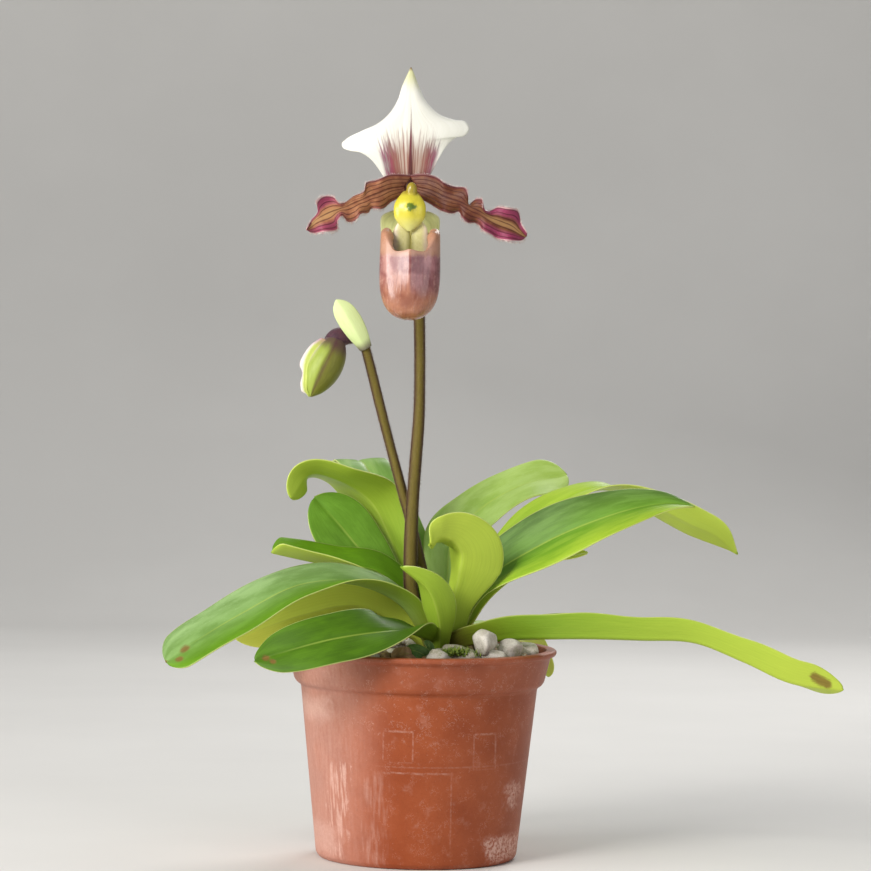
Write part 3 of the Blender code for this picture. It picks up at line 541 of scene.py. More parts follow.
# %% Pot, gravel and crown values
# The pot, a tapered plastic pot with a rim band and a thin flared lip
POT_HEIGHT = 69.0
LIP_RADIUS = 45.0
LIP_HEIGHT = 1.6
BAND_TOP_RADIUS = 43.0
BAND_BOTTOM_RADIUS = 40.9
BAND_HEIGHT = 12.0
BODY_TOP_RADIUS = 38.8
BASE_RADIUS = 33.0
CORNER = 1.6
SHOULDER = 1.0  # height of the slant under the rim band
WALL = 1.5
FLOOR = 1.8
FOOT_INNER_RADIUS = 27.5
CENTRE_DISC_RADIUS = 15.0
RECESS = 2.2
DRAIN_HOLES = 6
DRAIN_RADIUS = 3.2

# What fills it
MIX_TOP = 60.0
GRAVEL_TOP = 67.0
GRAVEL_HOLLOW = 64.5  # the gravel is lower round the crown
HOLLOW_RADII = (14, 22)  # where the bed starts to rise and where it is level again
BED_RADIUS = 34.0  # how far the level bed reaches
STONE_SEED = 11
STONE_RINGS = ((9, 19.5), (13, 26), (17, 31.5), (20, 35.2))  # how many pebbles, at what radius
STONE_SIZE = (2.9, 3.7)
STONE_LIFT = (-0.2, 0.9)
STONE_SQUASH = (0.65, 0.95)
CROWN_CLEARANCE = 14.0  # no pebble lies nearer to the crown than this
BIG_STONES = (  # x, y, middle height and radius of the stones that show over the rim
    (21, -25, 72.6, 4.6), (29.5, -19.5, 70.2, 3.5), (14.6, -31.5, 68.4, 3.4), (-5.6, -31, 68.6, 3.5),
    (11.4, -25, 69.2, 3.4), (35, -8, 69, 3.3), (6, -32.5, 67.9, 3.4), (24, -27, 68.4, 3),
)

# The crown, the short rhizome that every leaf and stem grows from
CROWN_X = 6.5
CROWN_RADIUS = 7.5
CROWN_BOTTOM = 48.0
CROWN_TOP = 68.0

# %% Leaf values
LEAF_THICKNESS = 1.0
SHEATH_THICKNESS = 1.8

# Half widths along a blade, as shares of the blade's own half width
LEAF_OUTLINE = ((0, 0.45), (0.12, 0.5), (0.35, 0.85), (0.6, 1), (0.78, 0.97), (0.9, 0.82), (1, 0.55))
SLIM_OUTLINE = ((0, 0.4), (0.12, 0.42), (0.35, 0.72), (0.6, 1), (0.78, 1), (0.9, 0.85), (1, 0.55))
SQUARE_OUTLINE = ((0, 0.4), (0.12, 0.42), (0.35, 0.72), (0.6, 1), (0.8, 1), (0.93, 0.97), (1, 0.9))
TAPER_OUTLINE = ((0, 0.4), (0.12, 0.42), (0.35, 0.85), (0.52, 1), (0.64, 0.94), (0.76, 0.8),
                 (0.87, 0.53), (1, 0.12))
LATE_OUTLINE = ((0, 0.45), (0.12, 0.5), (0.45, 0.95), (0.65, 1), (0.88, 0.88), (0.95, 0.62), (1, 0.2))
BLUNT_OUTLINE = ((0, 0.45), (0.12, 0.5), (0.35, 0.85), (0.6, 1), (0.8, 1), (0.93, 0.92), (1, 0.75))
WIDE_OUTLINE = ((0, 0.45), (0.15, 0.5), (0.3, 0.8), (0.45, 1), (0.7, 1), (0.88, 0.85), (1, 0.5))
ROUND_OUTLINE = ((0, 0.42), (0.2, 0.4), (0.45, 0.52), (0.62, 0.84), (0.76, 1), (0.88, 1), (1, 0.92))
CURLED_OUTLINE = ((0, 0.42), (0.2, 0.42), (0.32, 0.5), (0.47, 0.9), (0.62, 1), (0.78, 0.9),
                  (0.9, 0.7), (1, 0.6))
YOUNG_OUTLINE = ((0, 0.45), (0.35, 0.6), (0.58, 1), (0.78, 0.85), (0.93, 0.5), (1, 0.3))
LONG_OUTLINE = ((0, 0.6), (0.1, 0.82), (0.25, 1), (0.6, 0.85), (0.72, 0.85), (0.85, 1),
                (0.95, 0.78), (1, 0.5))
TALL_OUTLINE = ((0, 0.42), (0.2, 0.4), (0.36, 0.45), (0.5, 0.68), (0.62, 1), (0.75, 1),
                (0.88, 0.72), (1, 0.4))
CORDATE_OUTLINE = ((0, 0.6), (0.14, 0.93), (0.35, 0.98), (0.6, 0.8), (0.85, 0.42), (1, 0.06))
BRACT_OUTLINE = ((0, 0.55), (0.3, 1), (0.55, 0.92), (0.8, 0.5), (1, 0.06))
BUD_BRACT_OUTLINE = ((0, 0.6), (0.3, 0.95), (0.6, 1.05), (0.85, 0.8), (1, 0.3))
SHIELD_OUTLINE = ((0, 0.5), (0.2, 0.85), (0.5, 1), (0.8, 0.82), (1, 0.35))

# What a blade has when its own entry says nothing else
PLAIN_BLADE = dict(outline=LEAF_OUTLINE, curl=(0, 0), sweep=0, tip=0.09)

# Each leaf: midrib route from the rhizome to the tip, the way its upper side looks at even steps along it,
# its width, the V fold and the margins' curl in degrees, and how long its sheath in the crown is.
LEAVES = {
    "leaf_long_left": dict(
        route=((5, -2, 62.5), (1.5, -6.5, 72), (-6, -11.5, 84), (-21, -17, 91),
               (-38, -22, 90.3), (-57, -27, 81), (-70, -30, 73), (-81, -32, 65.3)),
        faces=((0.6, 0.5, 0.3), (0.2, -0.1, 1), (-0.2, -0.5, 0.85), (-0.4, -0.6, 0.75)),
        width=22, outline=BLUNT_OUTLINE, tip=0.05, fold=(45, 38, 16, 10, 10), curl=(0, -5, -10, -10),
        sheath=19),
    "leaf_under_left": dict(
        route=((4.5, -2, 62.5), (1, -3.5, 70.5), (-6.5, -4.5, 76.5), (-20, -6, 83),
               (-39, -7, 79.5), (-60, -8, 71.5)),
        faces=((0.5, 0.6, 0.4), (0.1, 0.8, 0.6), (0, 0.85, 0.5), (0.1, 0.8, 0.6)),
        width=19, outline=SLIM_OUTLINE, fold=(40, 15, 8, 5), sheath=18),
    "leaf_front_left": dict(
        route=((6, -3, 62.5), (4, -9, 70.5), (-0.5, -20, 75), (-10, -37, 76.8),
               (-26.7, -46.5, 75), (-51.7, -50.5, 68)),
        faces=((0.2, 0.6, 0.5), (-0.1, -0.3, 0.9), (-0.1, -0.82, 0.55), (-0.2, -0.85, 0.5)),
        width=18.5, outline=WIDE_OUTLINE, fold=(50, 30, 10, 8), curl=(0, 0, -8, -8), sheath=20),
    "leaf_mid_left": dict(
        route=((5, 1.5, 62.5), (1.8, 4, 72), (-5.2, 4.5, 85), (-15, 2, 93.5),
               (-28, 0, 95.5), (-49, -3, 99.5)),
        faces=((0.5, -0.6, 0.4), (0.5, -0.85, 0.3), (0.1, -0.5, 0.8), (0, -0.2, 0.97),
               (0, -0.12, 0.98)),
        width=17.5, outline=SQUARE_OUTLINE, tip=0.04, fold=(30, 12, 30, 38), sheath=18),
    "leaf_round_left": dict(
        route=((5, 2, 62.5), (1.5, 6.5, 72), (-5.5, 9, 83.5), (-14, 11, 93),
               (-21.5, 12, 101), (-28, 12.5, 108.5), (-36, 13.5, 116.8)),
        faces=((0.2, -0.8, 0.4), (0.1, -0.95, 0.3), (0.1, -0.95, 0.3), (0.1, -0.95, 0.3),
               (0, -0.9, 0.45)),
        width=20.5, outline=ROUND_OUTLINE, tip=0.2, fold=(22, 10, 8, 8), curl=(0, 0, -5, -5), sheath=20),
    "leaf_curled_left": dict(
        route=((5.5, 3, 62.5), (3, 10.5, 72), (-3, 15.5, 86), (-10, 17.5, 103),
               (-17.5, 16, 116.5), (-27, 11, 123), (-38, 5.5, 125), (-43.5, 2, 117)),
        faces=((0.3, 0.6, 0.4), (0.5, 0.75, 0.3), (0.4, 0.85, 0.3), (0.2, 0.85, 0.4), (0.1, 0.35, 0.95),
               (-0.5, 0.8, 0.3)),
        width=21, outline=CURLED_OUTLINE, tip=0.12, fold=(12, 6, 5, 5), curl=(0, 0, 10, 5), sheath=20),
    "leaf_back_left": dict(
        route=((6, 4, 62.5), (5.5, 15, 73), (-3.5, 26.5, 96), (-14, 32, 117),
               (-20.5, 40, 127.5), (-24, 52, 126.5), (-26, 62, 115)),
        faces=((0.2, -0.6, 0.2), (0.3, -0.8, 0.5), (0.1, -0.7, 0.7), (0, -0.2, 1), (-0.2, 0.6, 0.8)),
        width=18, fold=(30, 15, 10, 8), curl=(0, 0, -10, -10), sheath=21),
    "leaf_young_front": dict(
        route=((6, -3.5, 62.5), (6.5, -11, 70), (6.2, -18.2, 80), (2.2, -23.6, 90.5),
               (-6.2, -25.5, 97)),
        faces=((0.1, 0.9, 0.4), (0.1, 0.9, 0.4), (0.2, 0.7, 0.6), (0.2, 0.5, 0.8)),
        width=13, outline=YOUNG_OUTLINE, fold=(40, 28, 25, 20), curl=(0, 0, 10, 10), sheath=20.5),
    "leaf_centre": dict(
        route=((8.5, -3, 62.5), (9.6, -7.5, 72), (11, -11.5, 84.5), (12.8, -15.5, 94.5),
               (13.2, -19, 101.8), (10, -21.5, 105.8), (5.8, -24, 106.6), (2.8, -26.5, 104.5)),
        faces=((-0.1, 0.9, 0.4), (0.3, 0.9, 0.3), (0.58, 0.8, 0.1), (0.4, 0.8, 0.3), (0.2, 0.7, 0.7)),
        width=26.5, outline=TALL_OUTLINE, fold=(35, 34, 36, 15), curl=(0, 5, 10, 10), sheath=17),
    "leaf_back_right": dict(
        route=((8, 4, 62.5), (9.6, 12.6, 72), (8.6, 18.6, 91), (10.2, 21, 104),
               (19.4, 26, 113.4), (33.2, 31.5, 121.4), (48.4, 38, 125)),
        faces=((0.1, -0.7, 0.3), (0.3, -0.8, 0.3), (0.1, -0.6, 0.7), (-0.1, -0.5, 0.85),
               (-0.3, -0.85, 0.6)),
        width=19.6, outline=BLUNT_OUTLINE, tip=0.08, fold=(30, 15, 12, 10), curl=(0, 0, -8, -8),
        sheath=18.5),
    "leaf_big_right": dict(
        route=((9, 0, 62.5), (12.5, 0.5, 72), (20, -2.5, 89.5), (38, -8.5, 103.2),
               (57, -10.5, 112.3), (71, -9, 116.7), (80, -7.5, 118), (88.8, -6, 117.3)),
        faces=((-0.6, -0.2, 0.5), (-0.4, -0.6, 0.8), (-0.3, -0.75, 0.6), (-0.2, -0.7, 0.7),
               (-0.1, -0.6, 0.8)),
        width=23.5, outline=TAPER_OUTLINE, fold=(35, 18, 15, 15), curl=(0, 0, -5, 0), sheath=18),
    "leaf_behind_right": dict(
        route=((9, 3, 62.5), (13.5, 8, 72.5), (21.5, 12.5, 91), (37, 15.5, 110),
               (60.5, 17, 121.8), (78.9, 18, 115.8), (90.3, 19, 110.4), (98, 19, 107),
               (105.4, 19, 100.6)),
        faces=((-0.5, -0.4, 0.5), (-0.4, -0.6, 0.7), (-0.3, -0.65, 0.75), (0, -0.1, 1), (0.25, 0.6, 0.75),
               (0.4, 0.75, 0.55)),
        width=16, outline=LATE_OUTLINE, fold=(30, 15, 8, 8), sheath=18),
    "leaf_long_right": dict(
        route=((9.5, -3.5, 62.5), (13.5, -8.5, 70), (23, -12.5, 72.9), (45.5, -14.5, 74.6),
               (71.4, -16, 74.7), (89, -17, 74.2), (104.7, -19, 68.5), (120, -20.5, 62),
               (137, -22, 59.8)),
        faces=((-0.3, 0.2, 0.8), (0, 0.1, 1), (0, 0.15, 1), (0, 0.3, 1), (0.2, 0.8, 0.6)),
        width=18, outline=LONG_OUTLINE, fold=(40, 58, 62, 48, 18), curl=(0, 5, 8, 0), sheath=15),
    "leaf_over_back": dict(
        route=((8, 3.5, 62.5), (11.5, 11, 70.5), (18.5, 21, 72.8), (28.5, 36, 72.8),
               (37.5, 50, 66.5), (44.3, 57, 55)),
        faces=((-0.3, -0.5, 0.6), (-0.1, -0.3, 1), (0.1, 0.1, 1), (0.5, 0.4, 0.8)),
        width=15, fold=(40, 20, 12, 10), curl=(0, 0, -8, -8), sheath=17),
    "leaf_short_right": dict(
        route=((9, 1.5, 62.5), (13.5, 3.5, 72), (24, 3.1, 88.8), (38, 3.6, 97.5),
               (54.5, 4.4, 100.8)),
        faces=((-0.5, -0.3, 0.5), (-0.3, -0.5, 0.8), (-0.2, -0.4, 0.9), (-0.1, -0.4, 0.9)),
        width=8.5, fold=(30, 15, 12, 10), sheath=18),
}

# %% Stem and flower values
# Each stem: its middle line, and its radius at even steps along it
STEMS = {
    "flower_stem": dict(
        route=((5, -0.5, 63), (2, -0.5, 72), (-3.2, -0.5, 88), (-3.6, 0, 98),
               (-3.4, 2, 114), (-2.6, 5.5, 130), (-1.8, 9, 144.7), (-1.8, 12.5, 159),
               (-2.3, 17.5, 178), (-2.8, 20.5, 191)),
        radii=(2.3, 2.3, 2.1, 1.9, 1.8, 1.8)),
    "bud_stem": dict(
        route=((7.5, 2, 63), (5.5, 3.5, 75), (1.2, 4.5, 90), (-2.4, 5.5, 104.4),
               (-6.8, 7, 119.6), (-9.4, 7.5, 128.7), (-12, 7.8, 137.9), (-15.3, 7.5, 150.1),
               (-18.6, 7.2, 162.5), (-20, 7, 167.3)),
        radii=(1.8, 1.8, 1.6, 1.6, 1.6)),
}
# The flower
FLOWER = (-6, 7, 214)  # the receptacle, where every floral part is attached
POUCH_X = -5.6
POUCH_Y = -4.6
POUCH_HALF_WIDTH = 9.8
POUCH_HALF_DEPTH = 8.0
POUCH_RIM = 198.6  # height of the rim in front
POUCH_EARS = 6.3  # how much higher the rim is at the sides
POUCH_CLAW = 12.2  # and at the back, where a narrow claw reaches the receptacle
POUCH_TOE = 176.1
POUCH_FORWARD = 3.6  # how far the toe lies in front of the rim
OVARY_ROUTE = ((-2.8, 20.6, 191.4), (-3.2, 20.8, 199), (-4.4, 17.5, 207.5), (-5.6, 12.5, 212.3),
               (-6, 5.5, 214))
OVARY_RADII = (1.7, 2.1, 2.5, 2.5, 2.9, 3.4)
COLUMN_ROUTE = ((0, -2, 0), (0, -6, 0.6), (0, -11, -0.5))  # from the receptacle
COLUMN_RADII = (2.4, 2.2, 2.6)
SHIELD = dict(  # its route is from the receptacle too
    route=((0, -9.5, 4.2), (0, -12.2, 0.5), (0, -12.6, -4.5), (0, -11.2, -8.4)),
    faces=((0, -1, 0.5), (0, -1, 0), (0, -1, -0.3)), width=11, outline=SHIELD_OUTLINE, fold=(-8, -8),
    curl=(-25, -25))

# The green sepal and the bracts, with the same entries as a leaf
FLORAL = {
    "synsepal": dict(
        route=((-5.9, 9.2, 209.5), (-5.9, 9.8, 204), (-5.9, 10.8, 196), (-6, 11, 186.5)),
        faces=((0, -1, -0.1), (0, -1, 0)), width=20, outline=CORDATE_OUTLINE, fold=(10, 10, 10),
        sweep=0.5),
    "flower_bract": dict(
        route=((-2.6, 23.6, 190), (-2.4, 26.6, 197), (-2.2, 28, 204), (-2, 27.5, 213)),
        faces=((0, -1, 0.3), (0, -1, 0), (0, -1, -0.2)), width=13, outline=BRACT_OUTLINE,
        fold=(28, 30, 25), curl=(20, 15, 0)),
    "bud_bract": dict(
        route=((-19.7, 4.6, 166.4), (-22.4, 2.6, 171.1), (-25.9, 2, 176.9), (-29.7, 3, 182.5)),
        faces=((0.1, 1, 0.2), (0.1, 1, 0), (0.1, 1, -0.2)), width=7.9, outline=BUD_BRACT_OUTLINE,
        tip=0.1, fold=(20, 20, 15), curl=(15, 10, 0)),
}
# The bud, which nods on its short dark neck
NECK_ROUTE = ((-20.5, 7.2, 168.1), (-23.2, 7.8, 170.3), (-26.6, 7.8, 170.6), (-29.4, 7.2, 169.7),
              (-31, 6.4, 167))
NECK_RADII = (1.6, 2.2, 2.9, 3.4, 3.3)
BUD_ROUTE = ((-28.7, 6.6, 170.4), (-31.1, 5.8, 165.3), (-33.5, 5, 160.3), (-35.7, 4, 155.3),
             (-37.6, 3, 150.4))
BUD_RADII = (2.3, 4.9, 6, 5.8, 4.2, 1.1)
print(len(LEAVES), "leaves,", len(STEMS), "stems and", len(FLORAL), "sheets of flower and bud")

# %% [markdown]
# ## Leaves
# A real leaf is one strap from its clasping base in the crown to its tip, so the sheath and the
# blade are one piece here. It is thick at its base and thins towards its margins; its upper side has a
# groove over the midrib and its lower side a keel below it. The sheet's middle is computed as a whole
# array, and both faces are set off from it along its normal.

# %% Leaf shapes
MIDRIB_SOFTNESS = 0.1  # how wide the fold over the midrib is rounded, as a share of the half width


def blade_surface(spec, t, s):
    """Middle of a leaf-like sheet at the shares t along it and s across it, its faces and half widths.

    Each half leaves the midrib at the fold angle and bends on by the curl angle, so the height over
    the midrib is (cos fold - cos(fold + curl s)) / curl, and the distance from it is the same with
    sines. The half width closes to a rounded end over the last part of the route.
    """
    spec = {**PLAIN_BLADE, **spec}
    centre, tangent, face, side = frame_along(spec["route"], t, even(spec["faces"], t))
    last = spec["tip"]
    close = np.sqrt(np.clip(1 - (np.maximum(t - 1 + last, 0) / last) ** 2, 4e-4, 1))
    half = spec["width"] / 2 * hermite(*zip(*spec["outline"]), t) * close
    s = s[None, :]
    first = np.radians(even(spec["fold"], t))[:, None]
    bend = np.radians(even(spec["curl"], t))[:, None]
    bend = np.where(np.abs(bend) < 1e-3, 1e-3, bend)
    soft = np.sqrt(s**2 + MIDRIB_SOFTNESS**2) - MIDRIB_SOFTNESS
    across = (np.sin(first + bend * np.abs(s)) - np.sin(first)) / bend * np.sign(s)
    lift = (np.cos(first) - np.cos(first + bend * soft)) / bend
    along = (-spec["sweep"] * s**2)[..., None]
    raised = face[:, None] * lift[..., None]
    sheet = side[:, None] * across[..., None] + raised + tangent[:, None] * along
    return centre[:, None] + half[:, None, None] * sheet, face, half


def surface_normals(points, look):
    """The direction across a surface crossed with the one along it, on the side that look points to."""
    normal = unit(np.cross(np.gradient(points, axis=1), np.gradient(points, axis=0)) + 1e-12)
    return normal if (normal * look).sum() > 0 else -normal


def sheet_steps(rows, columns, crowding=1.0, end=1.0):
    """Shares along a sheet, which crowd towards its tip, and shares across it."""
    return 1 - (1 - np.linspace(0, end, rows)) ** crowding, np.linspace(-1, 1, columns)


def two_faced(name, points, look, thickness, t, s, finish, replaced=(), marks=None, ridge=0.0,
              keel=0.0):
    """A sheet with an upper and a lower face, half its thickness off the middle, closed at its margins."""
    normal = surface_normals(points, look)
    upper = points + normal * (thickness / 2 + ridge)[..., None]
    lower = points - normal * (thickness / 2 + keel)[..., None]
    rings = np.concatenate([upper, lower[:, ::-1]], axis=1)
    u = (s + 1) / 2
    marks = {key: np.concatenate([value, value[:, ::-1]], axis=1) for key, value in (marks or {}).items()}
    marks["upper"] = np.ones((len(t), 1)) * np.repeat([1.0, 0.0], len(s))
    return skin(name, rings, finish, replaced, marks, np.concatenate([u, u[::-1], u[:1]]), t)


small_grid = blade_surface(LEAVES["leaf_centre"], *sheet_steps(5, 3))[0]
print("A small grid on a leaf has the shape", small_grid.shape)

# %% [markdown]
# The leaves are waxy and mid-green with a pale line on the midrib and a thin pale margin. Their lower
# sides are lime, their own paler colour brightened by painted light shining through them, and on
# some leaves the half that catches the light is painted lighter. Every base runs through olive into
# the purple brown of the crown. Each leaf carries its own amounts of lime and of painted sheen, a pale
# whitish film, as numbers on its points, so that one finish serves all fifteen.

# %% Leaf finish
def leaf_paint(g):
    across, along = g.blade()
    upper, lime, film_and_sheen, scar = (g.mark(key) for key in ("upper", "lime", "film_and_sheen", "scar"))
    drift = clouds(g, g.join(across * 1.6, along * 5, lime * 9), 1.3)
    streak = g.fibres(across * 16, along * 4, lime * 9, 2.0)
    veins = veins_along(g, across, along, 9.0, 0.3, 0.15)
    speck = g.step(g.fibres(across * 30, along * 110, lime, detail=2.0), 0.6, 0.72)
    shade = lime + (drift - 0.5) * 0.1 + (streak - 0.5) * 0.12
    green = g.layers(tone(54, 87, 9), (shade / 0.4, tone(104, 152, 24)),
                     ((shade - 0.4) / 0.35, tone(176, 204, 58)), ((shade - 0.75) / 0.25, tone(212, 222, 78)))
    # the lower side: its own paler lime, and at the top of the range painted light shining through the leaf
    under = g.mix(lime + (streak - 0.5) * 0.2, tone(106, 150, 26), tone(214, 230, 86))
    rib = g.step(abs(across), 0.05, 0.01) * g.step(along, 0.98, 0.7)
    base = g.step(along + streak * 0.06, 0.3, 0.12)
    foot = g.step(along + streak * 0.08, 0.19, 0.08)
    brown = g.step(scar + (streak - 0.5) * 0.7 + (speck - 0.5) * 0.15, 0.3, 0.75)
    colour = g.layers(
        g.mix(upper, under, green),
        (veins * 0.03, tone(52, 88, 14)),
        # painted sheen: a pale whitish film that stands for light shining off the upper side
        (film_and_sheen * (0.4 + drift * 0.4 + speck * 0.2), tone(196, 224, 168)),
        (rib * 0.35, tone(190, 206, 96)),
        (margin(g, across, 0.03) * 0.6, tone(222, 226, 140)),
        (base * 0.7, tone(124, 128, 34)),
        (foot * 0.85, tone(74, 50, 30)),
        (brown * 0.85, g.mix(streak, tone(96, 66, 28), tone(150, 112, 58))),
    )
    rough = 0.4 + brown * 0.3 + foot * 0.2 + streak * 0.1
    height = veins * 0.008 + streak * 0.04 + brown * -0.08
    return dict(colour=colour, roughness=rough, height=height)


LEAF_FINISH = new_finish("waxy leaf", leaf_paint, {"Specular IOR Level": 0.25})
print("Made the finish", LEAF_FINISH.name)

# %% Fifteen leaves
LEAF_ROWS = 96
LEAF_COLUMNS = 33
LEAF_CROWDING = 1.3  # how much closer the rows lie towards the tip
MARGIN = 0.3  # thickness of a leaf at its margin
PLAIN_LOOK = dict(lime=0.4, tilt=0.0, climb=0.0, film_and_sheen=0.1, sheen_tilt=0.0, scars=(), flutter=0.25)
LEAF_LOOKS = {
    # lime from 0 to 1, its change across (tilt), which paints one half lighter as lit, and towards the
    # tip (climb); painted sheen, a pale whitish film, and its change across; and brown scars as (along,
    # across, radius in millimetres)
    "leaf_long_left": dict(lime=0.24, tilt=-0.06, climb=0.04, film_and_sheen=0.3, sheen_tilt=0.35,
                           scars=((0.935, -0.05, 2.4), (0.965, -0.45, 1.8), (1.0, 0.0, 0.8))),
    # painted light: lime at its top, brighter than this underside's own colour, for light shining through it
    "leaf_under_left": dict(lime=1.0, climb=0.3, film_and_sheen=0.0),
    "leaf_front_left": dict(lime=0.07, climb=0.1, film_and_sheen=0.0, scars=((0.96, -0.1, 1.6), (0.94, -0.4, 1.3))),
    "leaf_mid_left": dict(lime=0.24, tilt=-0.1, climb=0.2, film_and_sheen=0.0),
    "leaf_round_left": dict(lime=0.22, climb=0.14, film_and_sheen=0.05),
    "leaf_curled_left": dict(lime=0.0, climb=0.55, film_and_sheen=0.0),
    "leaf_back_left": dict(lime=0.42, film_and_sheen=0.35),
    "leaf_young_front": dict(lime=0.26, climb=0.1, film_and_sheen=0.0),
    "leaf_centre": dict(lime=0.35, climb=0.35, film_and_sheen=0.0),
    "leaf_back_right": dict(lime=0.45, climb=0.25, film_and_sheen=0.45),
    "leaf_big_right": dict(lime=0.26, tilt=0.3, climb=0.16, film_and_sheen=0.08, sheen_tilt=-0.1),
    "leaf_behind_right": dict(lime=0.66, climb=0.0, film_and_sheen=0.05),
    "leaf_long_right": dict(lime=-0.08, climb=0.85, film_and_sheen=0.0,
                            scars=((0.96, 0.3, 2.2), (0.95, 0.36, 2.4), (0.94, 0.42, 2.4),
                                   (0.93, 0.48, 2.2))),
    "leaf_over_back": dict(lime=0.5, climb=0.3, film_and_sheen=0.05),
    "leaf_short_right": dict(lime=0.9, film_and_sheen=0.0),
}


def leaf_marks(look, t, s, half, length):
    """Lime and painted sheen per point, and scars: 1 in a scar's middle, falling with the distance in
    millimetres.
    """
    side = s[None, :]
    ones = np.ones((len(t), len(s)))
    # tilt paints one half lighter, as lit; the rest of lime is the leaf's own tone
    lime = np.clip(look["lime"] + look["tilt"] * side + look["climb"] * t[:, None], 0, 1)
    film_and_sheen = np.clip(look["film_and_sheen"] + look["sheen_tilt"] * side, 0, 1) * ones
    scar = ones * 0
    for along, across, radius in look["scars"]:
        away = np.hypot((t[:, None] - along) * length, (side - across) * half[:, None])
        scar = np.maximum(scar, np.exp(-((away / radius) ** 2)))
    return dict(lime=lime, film_and_sheen=film_and_sheen, scar=scar)


def make_leaf(name, spec):
    """Thickness goes from the sheath's to the blade's; groove and keel are bell curves over the midrib."""
    look = {**PLAIN_LOOK, **LEAF_LOOKS[name]}
    length = leg_lengths(spec["route"]).sum()
    split = spec["sheath"] / length
    t, s = sheet_steps(LEAF_ROWS, LEAF_COLUMNS, LEAF_CROWDING)
    points, face, half = blade_surface(spec, t, s)
    above = smoothstep(split * 0.6, split * 1.6, t)[:, None]
    side = s[None, :]
    phase = length + 2.1 * np.sign(side)
    flutter = look["flutter"] * above * side**4 * np.sin(2 * math.pi * length / 26 * t[:, None] + phase)
    points = points + face[:, None] * flutter[..., None]
    body = SHEATH_THICKNESS + (LEAF_THICKNESS - SHEATH_THICKNESS) * above
    thickness = MARGIN + (body - MARGIN) * (1 - side**4)
    off = half[:, None] * side
    groove = -0.35 * above * np.exp(-((off / 0.9) ** 2))
    keel = 0.65 * above * (1 - t[:, None]) ** 0.5 * np.exp(-((off / 1.1) ** 2))
    marks = leaf_marks(look, t, s, half, length)
    return two_faced(name + "_blade", points, face[:, None], thickness, t, s, LEAF_FINISH, (name,),
                     marks, groove, keel)


leaves = [make_leaf(name, spec) for name, spec in LEAVES.items()]
print("Made", len(leaves), "leaves with", sum(len(leaf.data.polygons) for leaf in leaves), "faces")

# %% [markdown]
# ## Pot
# The pot is thin orange-brown plastic, pressed in a mould: a tapered body, a rim band set off by a
# small slant, and a thin flared lip. Its profile is turned round the upright axis, with every corner
# eased, and the drain holes are bored through the raised ring of its floor. Hard water has left pale
# blooms and streaks, and the mould has left faint lines.

# %% Pot shape
TURN_STEPS = 192
POT_EASE = 0.45


def eased(profile, ease, steps=4):
    """A profile with each corner replaced by a parabola that starts and ends at the distance ease from it."""
    profile = np.asarray(profile, float)
    legs = leg_lengths(profile)
    out = [profile[:1]]
    w = np.linspace(0, 1, steps + 1)[:, None]
    for i in range(1, len(profile) - 1):
        reach = min(ease, 0.45 * legs[i - 1], 0.45 * legs[i])
        start = profile[i] + (profile[i - 1] - profile[i]) * reach / legs[i - 1]
        end = profile[i] + (profile[i + 1] - profile[i]) * reach / legs[i]
        out.append((1 - w) ** 2 * start + 2 * w * (1 - w) * profile[i] + w**2 * end)
    return np.concatenate(out + [profile[-1:]])


def divided(profile, longest):
    """More points on the long legs of a profile, none further apart than longest."""
    counts = np.maximum(np.ceil(leg_lengths(profile) / longest).astype(int), 1)
    pieces = [profile[i] + (profile[i + 1] - profile[i]) * (np.arange(n) / n)[:, None]
              for i, n in enumerate(counts)]
    return np.concatenate(pieces + [profile[-1:]])


def turned_rings(profile, steps, middle=(0.0, 0.0)):
    """Each (radius, height) of a profile becomes a ring of radius times cosine and sine round the middle."""
    turn = 2 * math.pi * np.arange(steps) / steps
    r = profile[:, :1]
    z = np.broadcast_to(profile[:, 1:], (len(profile), steps))
    return np.stack([middle[0] + r * np.cos(turn), middle[1] + r * np.sin(turn), z], -1)


def body_inside(z):
    """The pot's inside radius at a height below the rim band."""
    return np.interp(z, (0, POT_HEIGHT - BAND_HEIGHT), (BASE_RADIUS, BODY_TOP_RADIUS)) - WALL


def band_inside(z):
    """The pot's inside radius at a height in the rim band."""
    return np.interp(z, (POT_HEIGHT - BAND_HEIGHT, POT_HEIGHT), (BAND_BOTTOM_RADIUS, BAND_TOP_RADIUS)) - WALL


def pot_profile():
    """Floor, inside wall, lip, rim band, shoulder, body and foot, from inside the floor round to below."""
    band_bottom = POT_HEIGHT - BAND_HEIGHT
    floor_top = RECESS + FLOOR
    round_over = 0.5
    return [
        (0.5, floor_top), (body_inside(floor_top) - CORNER, floor_top),
        (body_inside(floor_top + CORNER), floor_top + CORNER),
        (body_inside(band_bottom - SHOULDER), band_bottom - SHOULDER),
        (band_inside(band_bottom), band_bottom + CORNER), (band_inside(POT_HEIGHT), POT_HEIGHT),
        (LIP_RADIUS - round_over, POT_HEIGHT), (LIP_RADIUS, POT_HEIGHT - round_over),
        (LIP_RADIUS - 0.2, POT_HEIGHT - LIP_HEIGHT), (BAND_TOP_RADIUS, POT_HEIGHT - LIP_HEIGHT - 1.0),
        (BAND_BOTTOM_RADIUS + 0.2, band_bottom + CORNER),
        (BAND_BOTTOM_RADIUS - round_over, band_bottom + round_over),
        (BODY_TOP_RADIUS + 0.4, band_bottom - 0.3), (BODY_TOP_RADIUS, band_bottom - SHOULDER),
        (BASE_RADIUS, CORNER), (BASE_RADIUS - 0.5 * CORNER, 0.25 * CORNER), (BASE_RADIUS - CORNER, 0.0),
        (FOOT_INNER_RADIUS, 0.0), (FOOT_INNER_RADIUS - 1.0, RECESS),
        (CENTRE_DISC_RADIUS + 1.0, RECESS), (CENTRE_DISC_RADIUS, 0.0), (0.5, 0.0),
    ]


